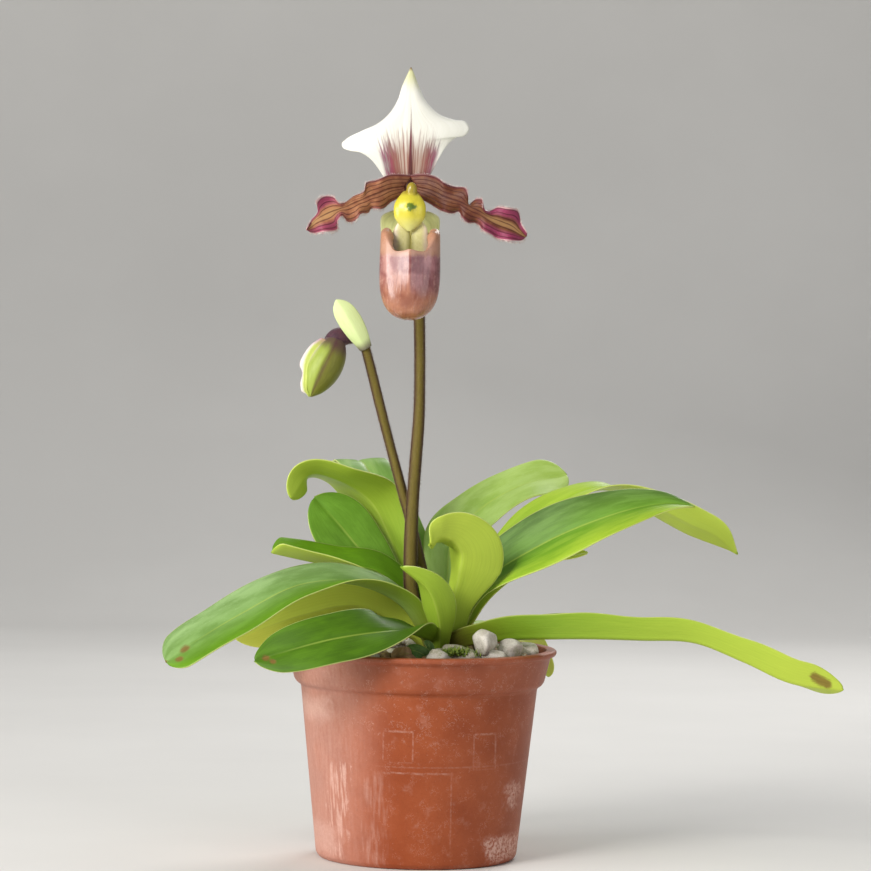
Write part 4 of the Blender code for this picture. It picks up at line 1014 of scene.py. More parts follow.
def drill(made, places, radius, low, high):
    """Round holes through a piece: a cylinder at each place is cut away, and plain mesh is left."""
    turn = 2 * math.pi * np.arange(32) / 32
    for x, y in places:
        ring = np.stack([x + radius * np.cos(turn), y + radius * np.sin(turn)], 1)
        points = np.concatenate([np.c_[ring, np.full(32, low)], np.c_[ring, np.full(32, high)]]) * MM
        sides = [(i, (i + 1) % 32, 32 + (i + 1) % 32, 32 + i) for i in range(32)]
        mesh = bpy.data.meshes.new("drill")
        mesh.from_pydata(points.tolist(), [], sides + [tuple(range(31, -1, -1)), tuple(range(32, 64))])
        cutter = bpy.data.objects.new("drill", mesh)
        bpy.context.scene.collection.objects.link(cutter)
        cut = made.modifiers.new("Hole", "BOOLEAN")
        cut.operation = "DIFFERENCE"
        cut.object = cutter
        bpy.context.view_layer.update()
        graph = bpy.context.evaluated_depsgraph_get()
        drilled = bpy.data.meshes.new_from_object(made.evaluated_get(graph))
        made.modifiers.clear()
        made.data = drilled
        bpy.data.objects.remove(cutter, do_unlink=True)


def pot_paint(g):
    """Old plastic: pale film thick on the left, crusts near the foot, specks and the mould's lines."""
    place = g.place()
    x, y, z = g.split(place)
    grain = g.noise(place, 1.6, 3.0)
    drift = clouds(g, place, 0.07, 0.2)
    ragged = g.noise(place, 0.22, 5.0, 0.65) - 0.5
    crust = g.noise(place, 0.9, 4.0, 0.7)
    streaks = g.noise(g.stretched(place, 0.9, 0.9, 0.05), 1.0, 4.0)
    front = g.step(y, 5.0, -5.0)

    def band(value, low, high, soft):
        """1 between low and high with soft edges."""
        return g.step(value, low - soft, low + soft) * g.step(value, high + soft, high - soft)

    def patch(x_low, x_high, z_low, z_high, soft):
        """A soft upright rectangle with ragged edges."""
        return band(x + ragged * 9, x_low, x_high, soft) * band(z + ragged * 7, z_low, z_high, soft)

    left = g.step(x, -6.0, -34.0)
    film_and_sheen = left * (0.25 + streaks * 0.5)
    for x_low, x_high, z_low, z_high, soft, amount in (  # patches of film: their sides, edges and strength
        (-46.0, -26.0, 44.0, 56.0, 6.0, 0.85),
        (-29.0, -22.0, 2.0, 34.0, 1.5, g.step(streaks, 0.35, 0.6) * 0.8),
        (-42.0, -24.0, 0.0, 15.0, 5.0, 0.75),
        (-18.0, -10.5, 0.0, 31.0, 3.0, g.step(streaks, 0.3, 0.75) * 0.4),
        (29.0, 33.0, 19.0, 27.0, 1.5, g.step(crust, 0.3, 0.6) * 0.8),
        (22.0, 34.0, 2.0, 9.5, 1.5, g.step(crust, 0.35, 0.6) * 0.95),
    ):
        film_and_sheen = g.most(film_and_sheen, patch(x_low, x_high, z_low, z_high, soft) * amount)
    film_and_sheen = film_and_sheen * front
    film_and_sheen = g.most(film_and_sheen, g.step(z, 54.0, 62.0) * (0.05 + g.step(ragged, 0.02, 0.25) * 0.2))
    film_and_sheen = g.most(film_and_sheen, g.step(ragged, 0.05, 0.3) * 0.2)

    def line(value, at, width):
        return g.step(abs(value - at), width, width * 0.3)

    moulded = line(z + ragged * 1.5, 31.5, 0.5) * band(x, -11.0, 10.0, 2.0)
    moulded = g.most(moulded, line(z, 33.5, 0.4) * 0.5)
    moulded = g.most(moulded, line(x, 11.0, 0.4) * band(z, 8.0, 31.0, 2.0) * 0.6)
    for x_low, x_high, z_low, z_high in ((-11.0, -1.5, 35.0, 45.0), (18.0, 25.0, 32.5, 44.0)):
        across = g.most(line(z, z_high, 0.5), line(z, z_low, 0.3) * 0.4) * band(x, x_low, x_high, 0.5)
        up = g.most(line(x, x_low, 0.4), line(x, x_high, 0.4)) * band(z, z_low, z_high, 0.5)
        moulded = g.most(moulded, g.most(across, up * 0.8))
    moulded = moulded * front * g.step(crust, 0.3, 0.7) * 0.35
    curl = g.noise(place, 0.75, 3.0, 0.6)
    scribble = g.step(abs(curl - 0.5), 0.016, 0.004) * g.step(g.noise(place, 0.28, 2.0), 0.5, 0.62)
    speck = g.step(g.noise(place, 1.9, 2.0), 0.68, 0.74) * 0.7
    marks = g.most(scribble, speck) * (0.35 + g.step(z, 30.0, 58.0) * 0.5)
    film_and_sheen = g.most(g.most(film_and_sheen * (0.55 + crust * 0.7), moulded), marks * 0.8)
    colour = g.layers(
        g.mix(drift, tone(146, 66, 28), tone(162, 80, 42)),
        (g.step(grain, 0.5, 0.8) * 0.3, tone(118, 50, 22)),
        (film_and_sheen * 0.85, tone(226, 186, 172)),
    )
    rough = 0.4 + film_and_sheen * 0.4 + grain * 0.1
    height = grain * 0.03 + crust * film_and_sheen * 0.12 + moulded * 0.06
    return dict(colour=colour, roughness=rough, height=height)


POT_FINISH = new_finish("orange brown plastic", pot_paint, {"Specular IOR Level": 0.35})
profile = divided(eased(pot_profile(), POT_EASE), 3.0)
pot = skin("pot_shell", turned_rings(profile, TURN_STEPS), POT_FINISH, ("pot",))
ring = (FOOT_INNER_RADIUS + CENTRE_DISC_RADIUS) / 2
angles = [2 * math.pi * (i + 0.5) / DRAIN_HOLES for i in range(DRAIN_HOLES)]
drill(pot, [(ring * math.cos(a), ring * math.sin(a)) for a in angles], DRAIN_RADIUS, 0.5, RECESS + FLOOR + 1)
print("The pot has", len(pot.data.polygons), "faces and", DRAIN_HOLES, "drain holes")

# %% [markdown]
# ## Gravel and potting mix
# Loose stones lie on the mix: some big white and grey ones by the rim, smaller beige ones between
# them and grit in the gaps. A broken stone is a ball cut by random planes with its edges worn off. The
# planes' distances, joined by a high-power mean, give just that: the radius in a direction is the
# smallest of the planes' distances, with the corners between them rounded.

# %% Stones
def stone_rings(rng, rows, columns, planes=10, power=14.0):
    """Rings of a stone of radius about 1: radius = (sum of max(direction . plane / distance, 0)^p)^(-1/p)."""
    lat = math.pi * (np.arange(rows) + 0.5) / rows
    lon = 2 * math.pi * np.arange(columns) / columns
    lat, lon = np.meshgrid(lat, lon, indexing="ij")
    ways = np.stack([np.sin(lat) * np.cos(lon), np.sin(lat) * np.sin(lon), np.cos(lat)], -1)
    normals = unit(rng.normal(size=(planes, 3)))
    normals = np.concatenate([normals, -normals[:3]])
    distance = rng.uniform(0.74, 1.04, len(normals))
    pull = np.maximum(ways @ (normals / distance[:, None]).T, 0)
    radius = np.minimum((pull**power).sum(-1) ** (-1 / power), 1.12)
    return ways * radius[..., None]


def tilt_matrix(turn):
    """The turn of a stone: a small tilt about X and Y and a full turn about Z."""
    euler = (0.3 * math.sin(turn), 0.3 * math.cos(turn), turn)
    (sx, sy, sz), (cx, cy, cz) = np.sin(euler), np.cos(euler)
    about_x = np.array([[1, 0, 0], [0, cx, -sx], [0, sx, cx]])
    about_y = np.array([[cy, 0, sy], [0, 1, 0], [-sy, 0, cy]])
    about_z = np.array([[cz, -sz, 0], [sz, cz, 0], [0, 0, 1]])
    return about_z @ about_y @ about_x


def place_stone(rings, x, y, z, size, squash, turn):
    """A stone drawn out to 1.25 by 0.9 by its squash, turned and put in its place."""
    shaped = rings * size * np.array([1.25, 0.9, squash])
    return shaped @ tilt_matrix(turn).T + np.array([x, y, z])


def make_stones():
    """The solid model's pebbles in their own places, and the big stones, each with its own colour number."""
    rng = random.Random(STONE_SEED)
    shapes = np.random.default_rng(5)
    stones, tints = [], []
    for ring, (count, radius) in enumerate(STONE_RINGS):
        for i in range(count):
            angle = 2 * math.pi * (i + 0.5 * (ring % 2)) / count + rng.uniform(-0.08, 0.08)
            r = radius + rng.uniform(-1.0, 0.6)
            size = rng.uniform(*STONE_SIZE)
            height = np.interp(r, HOLLOW_RADII, (GRAVEL_HOLLOW, GRAVEL_TOP)) + rng.uniform(*STONE_LIFT)
            squash = rng.uniform(*STONE_SQUASH)
            turn = rng.uniform(0, 2 * math.pi)
            x = r * math.cos(angle)
            y = r * math.sin(angle)
            if math.hypot(x - CROWN_X, y) > CROWN_CLEARANCE:
                stones.append(place_stone(stone_rings(shapes, 14, 22), x, y, height, size, squash, turn))
                tints.append(shapes.uniform(0, 1))
    for i, (x, y, z, size) in enumerate(BIG_STONES):
        stones.append(place_stone(stone_rings(shapes, 26, 40), x, y, z, size, 0.95, 1.6 - 1.1 * i))
        tints.append(BIG_TINTS[i])
    return stones, tints


def make_grit(count):
    """Small stones strewn over the bed, in the gaps of the big ones."""
    rng = np.random.default_rng(8)
    stones = []
    for _ in range(count):
        r = 38.5 * math.sqrt(rng.uniform(0.1, 1))
        angle = rng.uniform(0, 2 * math.pi)
        size = rng.uniform(0.6, 1.5)
        top = np.interp(r, HOLLOW_RADII, (GRAVEL_HOLLOW, GRAVEL_TOP)) + rng.uniform(-0.3, 1.3)
        x, y = r * math.cos(angle), r * math.sin(angle)
        stones.append(place_stone(stone_rings(rng, 5, 7), x, y, top, size, 0.8, rng.uniform(0, 6)))
    return stones, rng.uniform(0, 1, count)


def stone_paint(g):
    tint = g.mark("tint")
    x, y, z = g.split(g.place())
    seed = g.join(x + tint * 40, y, z)
    cloud = clouds(g, seed, 0.35)
    grain = g.noise(seed, 3.0, 4.0, 0.6)
    pale = g.mix(cloud, tone(226, 220, 208), tone(196, 188, 174))
    grey = g.mix(cloud, tone(160, 152, 140), tone(190, 180, 162))
    brown = g.mix(cloud, tone(140, 104, 74), tone(176, 142, 108))
    growth = g.step(g.noise(seed, 0.5, 4.0, 0.6), 0.5, 0.66) * g.step(z, 74.0, 69.0)
    # darker towards the bottom of the bed
    darker_low = g.step(z, 69.5, 66.0)
    colour = g.layers(
        brown,
        (g.step(tint, 0.32, 0.4), grey),
        (g.step(tint, 0.62, 0.7), pale),
        (g.step(grain, 0.52, 0.7) * 0.5, tone(104, 88, 70)),
        (growth * 0.6, tone(122, 126, 62)),
        (darker_low * 0.6, tone(88, 74, 58)),
    )
    return dict(colour=colour, roughness=0.62 + grain * 0.2, height=grain * 0.18)


def bed_paint(g):
    place = g.place()
    cells = g.cells(place, 0.8)
    grain = g.noise(place, 1.5, 4.0, 0.6)
    colour = g.mix(g.step(cells, 0.1, 0.5), tone(58, 46, 36), tone(128, 112, 90))
    colour = g.mix(grain * 0.5, colour, tone(74, 60, 44))
    return dict(colour=colour, roughness=0.85 + grain * 0.1, height=cells * 0.8 + grain * 0.3)


def bark_paint(g):
    place = g.place()
    chips = g.cells(g.stretched(place, 0.5, 0.5, 1.1), 0.35)
    grain = g.noise(g.stretched(place, 1.0, 0.3, 2.0), 1.2, 4.0, 0.6)
    colour = g.mix(g.step(chips, 0.2, 0.7), tone(92, 66, 44), tone(46, 32, 24))
    colour = g.mix(grain * 0.5, colour, tone(70, 50, 36))
    return dict(colour=colour, roughness=0.85 + grain * 0.1, height=chips * 1.2 + grain * 0.4)


def make_bed():
    """A disc of grit, level near the wall and lower round the crown, its top in small waves."""
    edge = GRAVEL_TOP - 1.0
    profile = [
        (0.6, GRAVEL_HOLLOW), (HOLLOW_RADII[0], GRAVEL_HOLLOW), (HOLLOW_RADII[1], GRAVEL_TOP),
        (BED_RADIUS, GRAVEL_TOP), (band_inside(edge) - 0.3, edge),
        (band_inside(MIX_TOP) - 0.4, MIX_TOP + 0.3), (0.6, MIX_TOP + 0.3),
    ]
    profile = divided(eased(profile, 1.0), 1.2)
    rings = turned_rings(profile, 120)
    x, y, z = np.moveaxis(rings, -1, 0)
    relief = 0.35 * np.sin(1.9 * x + 0.7 * y) * np.cos(1.6 * y - 0.9 * x) + 0.2 * np.sin(3.1 * y + 1.3 * x)
    rings[..., 2] += relief * smoothstep(edge - 3, edge, z) * smoothstep(39.0, 36.0, np.hypot(x, y))
    return skin("gravel_bed", rings, new_finish("grit bed", bed_paint), ("gravel",))


GRIT_COUNT = 260
BIG_TINTS = (0.95, 0.75, 0.5, 0.2, 0.45, 0.9, 0.6, 0.8)
STONE_FINISH = new_finish("mixed stone", stone_paint, {"Specular IOR Level": 0.4})
make_bed()
stones, tints = make_stones()
many_skins("gravel_stones", stones, STONE_FINISH, dict(tint=tints))
grit, grit_tints = make_grit(GRIT_COUNT)
many_skins("gravel_grit", grit, STONE_FINISH, dict(tint=grit_tints))
bpy.data.objects["potting_mix"].material_slots[0].material = new_finish("bark mix", bark_paint)
print("Laid", len(stones), "stones and", len(grit_tints), "bits of grit")

# %% [markdown]
# ## Crown and stems
# The leaves clasp a short brown rhizome. The flower stem and the bud stem rise from it, olive and
# purple brown, round, and covered with short pale hairs that stand straight out. A hair is a spike of
# four faces, which is enough at less than a tenth of a millimetre, and all those of a stem are one mesh.

# %% Stems and hairs
HAIR_RADIUS = 0.028


def tube_rings(route, radii, rows, sides, look, shape=None):
    """Circles of a radius read from radii, centred on a route; shape adds a share of the radius."""
    t = np.linspace(0, 1, rows)
    centre, _, face, side = frame_along(route, t, np.broadcast_to(np.array(look, float), (rows, 3)))
    turn = 2 * math.pi * np.arange(sides) / sides
    radius = even(radii, t)[:, None] * np.ones(sides)
    if shape is not None:
        radius = radius * (1 + shape(t[:, None], turn[None, :]))
    out = np.cos(turn)[None, :, None] * face[:, None] + np.sin(turn)[None, :, None] * side[:, None]
    return centre[:, None] + radius[..., None] * out


def make_tube(name, route, radii, look, finish, replaced=(), rows=90, sides=24, shape=None):
    return skin(name, tube_rings(route, radii, rows, sides, look, shape), finish, replaced)


def needles(name, roots, ways, lengths, radius, finish, slot):
    """Hairs as three-sided spikes: three points round each root and one a length away along its way."""
    ways = unit(ways)
    spare = np.where(np.abs(ways[:, 2:]) < 0.9, np.array([[0.0, 0, 1]]), np.array([[1.0, 0, 0]]))
    a = unit(np.cross(ways, spare))
    b = np.cross(ways, a)
    turn = 2 * math.pi * np.arange(3)[None, :, None] / 3
    feet = roots[:, None] + radius * (np.cos(turn) * a[:, None] + np.sin(turn) * b[:, None])
    tips = roots + ways * lengths[:, None]
    points = np.concatenate([feet, tips[:, None]], 1).reshape(-1, 3)
    pattern = np.array([[0, 1, 3], [1, 2, 3], [2, 0, 3], [0, 2, 1]])
    faces = (pattern[None] + 4 * np.arange(len(roots))[:, None, None]).reshape(-1, 3)
    mesh = build_mesh(name, points, faces.tolist(), np.zeros((len(faces) * 3, 2)), finish, {})
    return dress(bpy.data.objects.new(name, mesh))


def grow_hairs(name, slot, route, radii, look, count, start, end, longest):
    """Hairs with their roots just inside a tube at random places, straight out with a little scatter."""
    t = np.sort(rng.uniform(start, end, count))
    centre, tangent, face, side = frame_along(route, t, np.broadcast_to(np.array(look, float), (count, 3)))
    turn = rng.uniform(0, 2 * math.pi, count)[:, None]
    out = np.cos(turn) * face + np.sin(turn) * side
    roots = centre + out * (even(radii, t)[:, None] - 0.12)
    ways = out + tangent * rng.normal(0.1, 0.25, (count, 1)) + rng.normal(0, 0.15, (count, 3))
    lengths = rng.uniform(0.45, 1.0, count) * longest
    return needles(name, roots, ways, lengths, HAIR_RADIUS, HAIR_FINISH, slot)


def stem_paint(g):
    """Olive along the facing side and purple brown round it, partly painted light and shade, with small dark
    dots.
    """
    across, _ = g.blade()
    place = g.place()
    along_stem = g.noise(g.stretched(place, 1.0, 1.0, 0.08), 1.2, 3.0)
    dots = g.cells(g.stretched(place, 1.0, 1.0, 0.7), 2.6)
    olive = g.mix(along_stem, tone(128, 112, 44), tone(96, 84, 30))
    purple = g.mix(along_stem, tone(64, 40, 34), tone(82, 54, 38))
    colour = g.layers(
        purple,
        # painted light: olive along the tube's facing side, the front on both stems; the purple brown round
        # it is partly painted shade
        (g.step(abs(across) + (along_stem - 0.5) * 0.25, 0.62, 0.92), olive),
        (g.step(dots, 0.28, 0.14) * 0.3, tone(54, 30, 30)),
    )
    return dict(colour=colour, roughness=0.62 + along_stem * 0.1, height=g.step(dots, 0.4, 0.1) * 0.05)


def hair_paint(g):
    cloud = clouds(g, g.place(), 0.8, 0.1)
    colour = g.mix(cloud, tone(150, 128, 96), tone(104, 76, 66))
    return dict(colour=colour, roughness=0.6 + cloud * 0.1, height=cloud * 0.01)


def crown_paint(g):
    place = g.place()
    fibre = g.noise(g.stretched(place, 1.4, 1.4, 0.12), 1.0, 4.0)
    colour = g.mix(clouds(g, place, 0.2), tone(92, 66, 42), tone(120, 92, 58))
    colour = g.mix(g.step(fibre, 0.45, 0.65) * 0.7, colour, tone(58, 38, 28))
    return dict(colour=colour, roughness=0.7 + fibre * 0.1, height=fibre * 0.5)


STEM_FINISH = new_finish("hairy stem", stem_paint)
HAIR_FINISH = new_finish("pale hair", hair_paint)
CROWN_FINISH = new_finish("rhizome", crown_paint)
UPRIGHT_LOOK = (0, -1, 0)


def stem_swell(t, turn):
    """Slow swelling along a stem and a slight angle in its section."""
    return 0.03 * np.sin(23 * t + 1.0) + 0.02 * np.cos(5 * turn + 9 * t)


def make_crown():
    """The short rhizome, its surface in rings and lumps."""
    profile = [
        (0.5, CROWN_TOP), (5.0, CROWN_TOP - 0.6), (CROWN_RADIUS - 0.4, CROWN_TOP - 2.5),
        (CROWN_RADIUS, CROWN_TOP - 5.0), (CROWN_RADIUS, CROWN_BOTTOM + 2.0),
        (CROWN_RADIUS - 2.0, CROWN_BOTTOM), (0.5, CROWN_BOTTOM),
    ]
    profile = divided(eased(profile, 1.0), 0.6)
    rings = turned_rings(profile, 64)
    turn = np.arctan2(rings[..., 1], rings[..., 0])
    z = rings[..., 2]
    lump = 1 + 0.04 * np.sin(5 * turn + 0.5 * z) - 0.05 * np.abs(np.sin(z * 0.9 + 0.6 * np.sin(turn)))
    rings[..., :2] *= lump[..., None]
    rings[..., 0] += CROWN_X
    return skin("crown_rhizome", rings, CROWN_FINISH, ("crown",))


make_crown()
rng = np.random.default_rng(3)
HAIRS = {"flower_stem": (14000, 0.8), "bud_stem": (10000, 0.75)}  # how many and how long
for name, spec in STEMS.items():
    make_tube(name + "_tube", spec["route"], spec["radii"], UPRIGHT_LOOK, STEM_FINISH, (name,),
              shape=stem_swell)
    count, longest = HAIRS[name]
    grow_hairs(name + "_hairs", "stem", spec["route"], spec["radii"], UPRIGHT_LOOK, count, start=0.2, end=1.0,
               longest=longest)


def ovary_shape(t, turn):
    """Three pairs of ribs run down the ovary."""
    return 0.05 * np.cos(6 * turn) * np.sin(math.pi * t)


SIDE_LOOK = (1, 0, 0)
make_tube("ovary_tube", OVARY_ROUTE, OVARY_RADII, SIDE_LOOK, STEM_FINISH, ("ovary",),
          rows=60, sides=36, shape=ovary_shape)
grow_hairs("ovary_hairs", "stem", OVARY_ROUTE, OVARY_RADII, SIDE_LOOK, count=1800, start=0.0, end=0.9,
           longest=0.8)
print("Made the crown, two stems and the ovary with their hairs")

# %% [markdown]
# ## Dorsal sepal and petals
# The upright sepal is white with a maroon stripe, and its sides bend back and swing out into two
# corners; the petals are long, ruffled and rose brown with dark veins. Their outlines are too lively for
# a width that changes along a midrib, so each is a patch stretched between two margins and a midrib,
# read off the photo in millimetres. Veins then run from the base to the tip along the patch.

# %% Patches between margins
DORSAL = dict(
    left=((-8.4, 8.2, 217.2), (-14.8, 7, 223.2), (-16.8, 6.5, 226.1), (-19.5, 6.2, 229.2),
          (-22.8, 6.2, 231.1), (-26.3, 6.8, 231.7), (-28.5, 7.2, 232.6), (-28.9, 7.3, 234),
          (-27.6, 7, 235.4), (-22.9, 6, 237.9), (-17.1, 5, 240.6), (-13.2, 4, 244.1), (-10.6, 3, 248.4),
          (-9.1, 1.8, 253.2), (-7.5, 0.4, 256.8), (-6.5, -0.5, 259)),
    right=((-3.8, 8.2, 217.3), (1, 7, 225.2), (3.8, 6.2, 230.8), (6.7, 6.2, 235.1), (8.7, 6.5, 236.7),
           (11.6, 7, 237.4), (13.1, 7.2, 239.6), (11.9, 6.8, 241.7), (8.2, 5.6, 242.3), (3.3, 4.6, 243.8),
           (-1.1, 3.4, 247.6), (-3.8, 1.8, 252.7), (-5.5, 0.4, 256.8), (-6.5, -0.5, 259)),
    middle=((-6, 8.2, 217.5), (-6.3, 6.4, 226), (-7.2, 3.2, 239), (-6.5, -0.5, 259)))
PETALS = {
    "petal_left": dict(
        left=((-5.4, 6.4, 224), (-13.1, 3, 223.8), (-17, 1.5, 222), (-20.6, 0.5, 220.9),
              (-21.1, -0.2, 218.2), (-24.5, -0.6, 216.5), (-27.9, -1.2, 214.1), (-28.9, -1.5, 214),
              (-30.9, -2, 216), (-35.1, -2.3, 215.9), (-36.4, -2.3, 214.3), (-36, -2, 211.4),
              (-38.3, -1.5, 208.1), (-39.9, -1, 205.1)),
        right=((-7.4, 6.4, 217.4), (-12.3, 3, 214.9), (-15.2, 1.5, 212.5), (-18.8, 0.5, 212.4),
               (-19.7, 0, 211.2), (-22, -0.4, 210.7), (-23.3, -0.6, 208.8), (-26.2, -1, 208.1),
               (-28.2, -1.3, 209.9), (-29.4, -1.6, 208.2), (-29.4, -2, 205.8), (-34.3, -2, 204.5),
               (-37.9, -1.5, 204.3), (-39.9, -1, 205.1)),
        middle=((-8.8, 4.8, 220), (-12.7, 2.5, 219.3), (-17.5, 0, 217.2), (-22.4, -1.2, 215.1),
                (-26.9, -2, 213), (-31.4, -2.5, 210.9), (-36, -2, 208.7), (-39.9, -1, 205.1))),
    "petal_right": dict(
        left=((-6.4, 6.4, 224), (-1.3, 4, 224.4), (2.8, 2.5, 223.2), (5.2, 1, 221.4), (8.6, 0, 220.3),
              (12.2, -0.4, 219.7), (12.9, -0.8, 217.6), (13, -1.2, 214.3), (15.8, -1.5, 216.3),
              (17.4, -1.8, 216.3), (18.2, -2, 213), (19.9, -2, 212.5), (22.8, -2.2, 213.8),
              (25.7, -2.3, 213.5), (29, -2.2, 213), (30.6, -1.6, 208.4), (32.7, -1, 205.2)),
        right=((-4.6, 6.4, 217.4), (1.2, 3, 214.2), (4.8, 1.5, 212.1), (7.8, 0.5, 211.5),
               (10.1, -0.2, 212.1), (11.3, -0.6, 209.8), (13.1, -1, 208.4), (15.7, -1.3, 208.4),
               (17, -1.5, 207.5), (17.7, -1.7, 206.2), (20, -2, 204.9), (22.5, -2.2, 203.6),
               (27.8, -2, 202.8), (30.9, -1.5, 203.2), (32.7, -1, 204.9)),
        middle=((-3.2, 4.8, 220), (0.6, 2.5, 219), (5.4, 0, 216.8), (11, -1.2, 214.9), (16.3, -2, 212.5),
                (21.6, -2.3, 209.7), (26.8, -1.8, 207.7), (32.4, -1, 204))),
}
PETAL_BODY = 0.55  # thickness of the petals' tissue
PETAL_HAIRS = 1100
PETAL_HAIR_RADIUS = 0.055
PATCH_END = 0.995  # the two margins of a patch meet at 1, and a face there would have no width
FRONT = np.array([0.0, -1.0, 0.0])


def patch_points(spec, t, s):
    """Midrib plus the way to a margin times |s|; in depth |s| to the power 2.5, so that sides bend late."""
    left, right, middle = (along_route(spec[key], t)[:, None] for key in ("left", "right", "middle"))
    margin = np.where(s[None, :, None] < 0, left, right)
    share = np.abs(s)[None, :, None] ** np.array([1.0, 2.5, 1.0])
    return middle + (margin - middle) * share


def sheet_thickness(t, s, body, margin=0.25):
    return margin + (body - margin) * np.ones((len(t), 1)) * (1 - s[None, :] ** 4)


def dorsal_paint(g):
    """White, with streaks in a fan: a streak keeps its share of the way out, (x + 5.7) / (z - 196)."""
    across, along = g.blade()
    x, _, z = g.split(g.place())
    upper = g.mark("upper")
    fibre = g.fibres(across * 22, along * 5)
    fan = (x + 5.7) / g.most(z - 196.0, 5.0)
    streak = g.fibres(fan * 46, z * 0.1, roughness=0.6)
    long_streak = g.fibres(fan * 60, z * 0.03, 7.0, detail=2.0)
    reach = z + (streak - 0.5) * 22
    white = g.mix(fibre * 0.6, tone(246, 245, 236), tone(226, 224, 206))

    def sector(low, high, soft):
        return g.step(fan, low - soft, low + soft) * g.step(fan, high + soft, high - soft)

    wings = g.most(sector(-0.3, -0.15, 0.025), sector(0.12, 0.24, 0.025))
    magenta = wings * g.step(reach, 237.0, 231.0) * (0.7 + g.step(streak, 0.35, 0.6) * 0.3)
    thin = g.step(long_streak, 0.5, 0.58) * sector(-0.2, 0.2, 0.04) * g.step(reach, 240.0, 230.0)
    wide = g.step(z, 250.0, 212.0) * 1.3
    stripe = g.step(abs(x + 6.2 + (streak - 0.5) * 0.4), wide, wide * 0.5) * g.step(z, 250.0, 244.0)
    base = g.step(z + (streak - 0.5) * 16, 240.0, 228.0) * sector(-0.22, 0.18, 0.06)
    colour = g.layers(
        white,
        (thin * 0.75, tone(122, 48, 62)),
        (magenta, g.mix(g.step(streak, 0.35, 0.65), tone(84, 12, 48), tone(152, 56, 98))),
        (base * 0.7, tone(146, 88, 62)),
        (stripe * 0.95, g.mix(g.step(z, 224.0, 236.0), tone(88, 26, 24), tone(112, 18, 44))),
        (g.step(z, 250.0, 257.5) * 0.75, tone(206, 206, 130)),
        (g.step(z, 257.3, 259.0), tone(120, 84, 50)),
    )
    back = g.mix(g.most(thin, stripe) * 0.5, tone(222, 220, 190), tone(110, 60, 50))
    colour = g.mix(upper, back, colour)
    return dict(colour=colour, roughness=0.5 + fibre * 0.1, height=fibre * 0.08)


def petal_paint(g):
    """Brown at the base, rose towards the tip, with dark lines, magenta lobes and a pale fringed margin."""
    across, along = g.blade()
    x, _, _ = g.split(g.place())
    fibre = g.fibres(across * 18, along * 6)
    cloud = clouds(g, g.place(), 0.3)
    # painted light: the brown is lighter to the left, where the light falls, and darker to the right
    brown = g.mix(g.step(x, 0.0, -20.0), g.mix(cloud, tone(96, 48, 32), tone(116, 70, 42)),
                  g.mix(cloud, tone(150, 92, 64), tone(178, 122, 84)))
    outer = g.step(along + (fibre - 0.5) * 0.15, 0.52, 0.72)
    lobe = g.step(abs(across), 0.3, 0.6) * outer
    sides = g.step(abs(across), 0.72, 0.95) * (1 - outer)
    veins = veins_along(g, across, along, 3.5, 0.17, 0.35)
    rib = g.step(abs(across), 0.09, 0.02) * (1 - outer)
    colour = g.layers(
        brown,
        (lobe * 0.85, g.mix(fibre, tone(122, 28, 68), tone(172, 70, 112))),
        (g.step(abs(across), 0.3, 0.1) * outer * 0.6, tone(176, 138, 88)),
        (sides * 0.6, tone(112, 36, 56)),
        (veins * 0.75, tone(66, 18, 20)),
        (rib * 0.6, tone(70, 24, 20)),
        (margin(g, across, 0.1) * (0.3 + outer * 0.5), tone(228, 190, 188)),
    )
    return dict(colour=colour, roughness=0.38 + fibre * 0.15, height=veins * -0.1 + fibre * 0.1)


def make_dorsal():
    t, s = sheet_steps(110, 57, 1.15, PATCH_END)
    points = patch_points(DORSAL, t, s)
    side = s[None, :]
    ruffle = 0.5 * side**2 * np.sin(2 * math.pi * 3.3 * t[:, None] + 1.7 * np.sign(side))
    rib = 0.5 * np.exp(-((side / 0.08) ** 2)) * (1 - t[:, None])
    points[..., 1] += ruffle * np.sin(math.pi * t[:, None]) - rib
    finish = new_finish("striped white sepal", dorsal_paint, sheen(0.15, 0.5))
    return two_faced("dorsal_sepal_sheet", points, FRONT, sheet_thickness(t, s, 0.6), t, s, finish,
                     ("dorsal_sepal",))


def margin_hairs(rng, points, count, longest):
    """Hairs at random places on the two margins of a grid, pointing away from the midrib."""
    rows = (2 + (len(points) - 5) * rng.uniform(0, 1, count) ** 0.6).astype(int)
    which = rng.integers(0, 2, count)
    edge = np.where(which[:, None] == 0, points[rows, 0], points[rows, -1])
    inside = np.where(which[:, None] == 0, points[rows, 3], points[rows, -4])
    nudge = points[rows + 1, 0] - points[rows, 0]
    ways = unit(edge - inside) + rng.normal(0, 0.35, (count, 3))
    return edge + nudge * rng.uniform(0, 1, (count, 1)), ways, rng.uniform(0.4, 1.0, count) * longest


def make_petal(name, spec, finish, rng):
    t, s = sheet_steps(130, 37, end=PATCH_END)
    points = patch_points(spec, t, s)
    side = s[None, :]
    ruffle = side**2 * np.sin(2 * math.pi * 5.2 * t[:, None] + 2.2 * np.sign(side))
    points[..., 1] += 1.7 * ruffle * smoothstep(0.1, 0.35, t)[:, None]
    thickness = sheet_thickness(t, s, PETAL_BODY)
    two_faced(name + "_sheet", points, FRONT, thickness, t, s, finish, (name,))
    hairs = margin_hairs(rng, points, PETAL_HAIRS, 1.3)
    needles(name + "_hairs", *hairs, PETAL_HAIR_RADIUS, WHITE_HAIR, "petal")


def white_hair_paint(g):
    cloud = clouds(g, g.place(), 0.8, 0.1)
    colour = g.mix(cloud, tone(240, 230, 222), tone(214, 180, 178))
    return dict(colour=colour, roughness=0.5 + cloud * 0.1, height=cloud * 0.01)


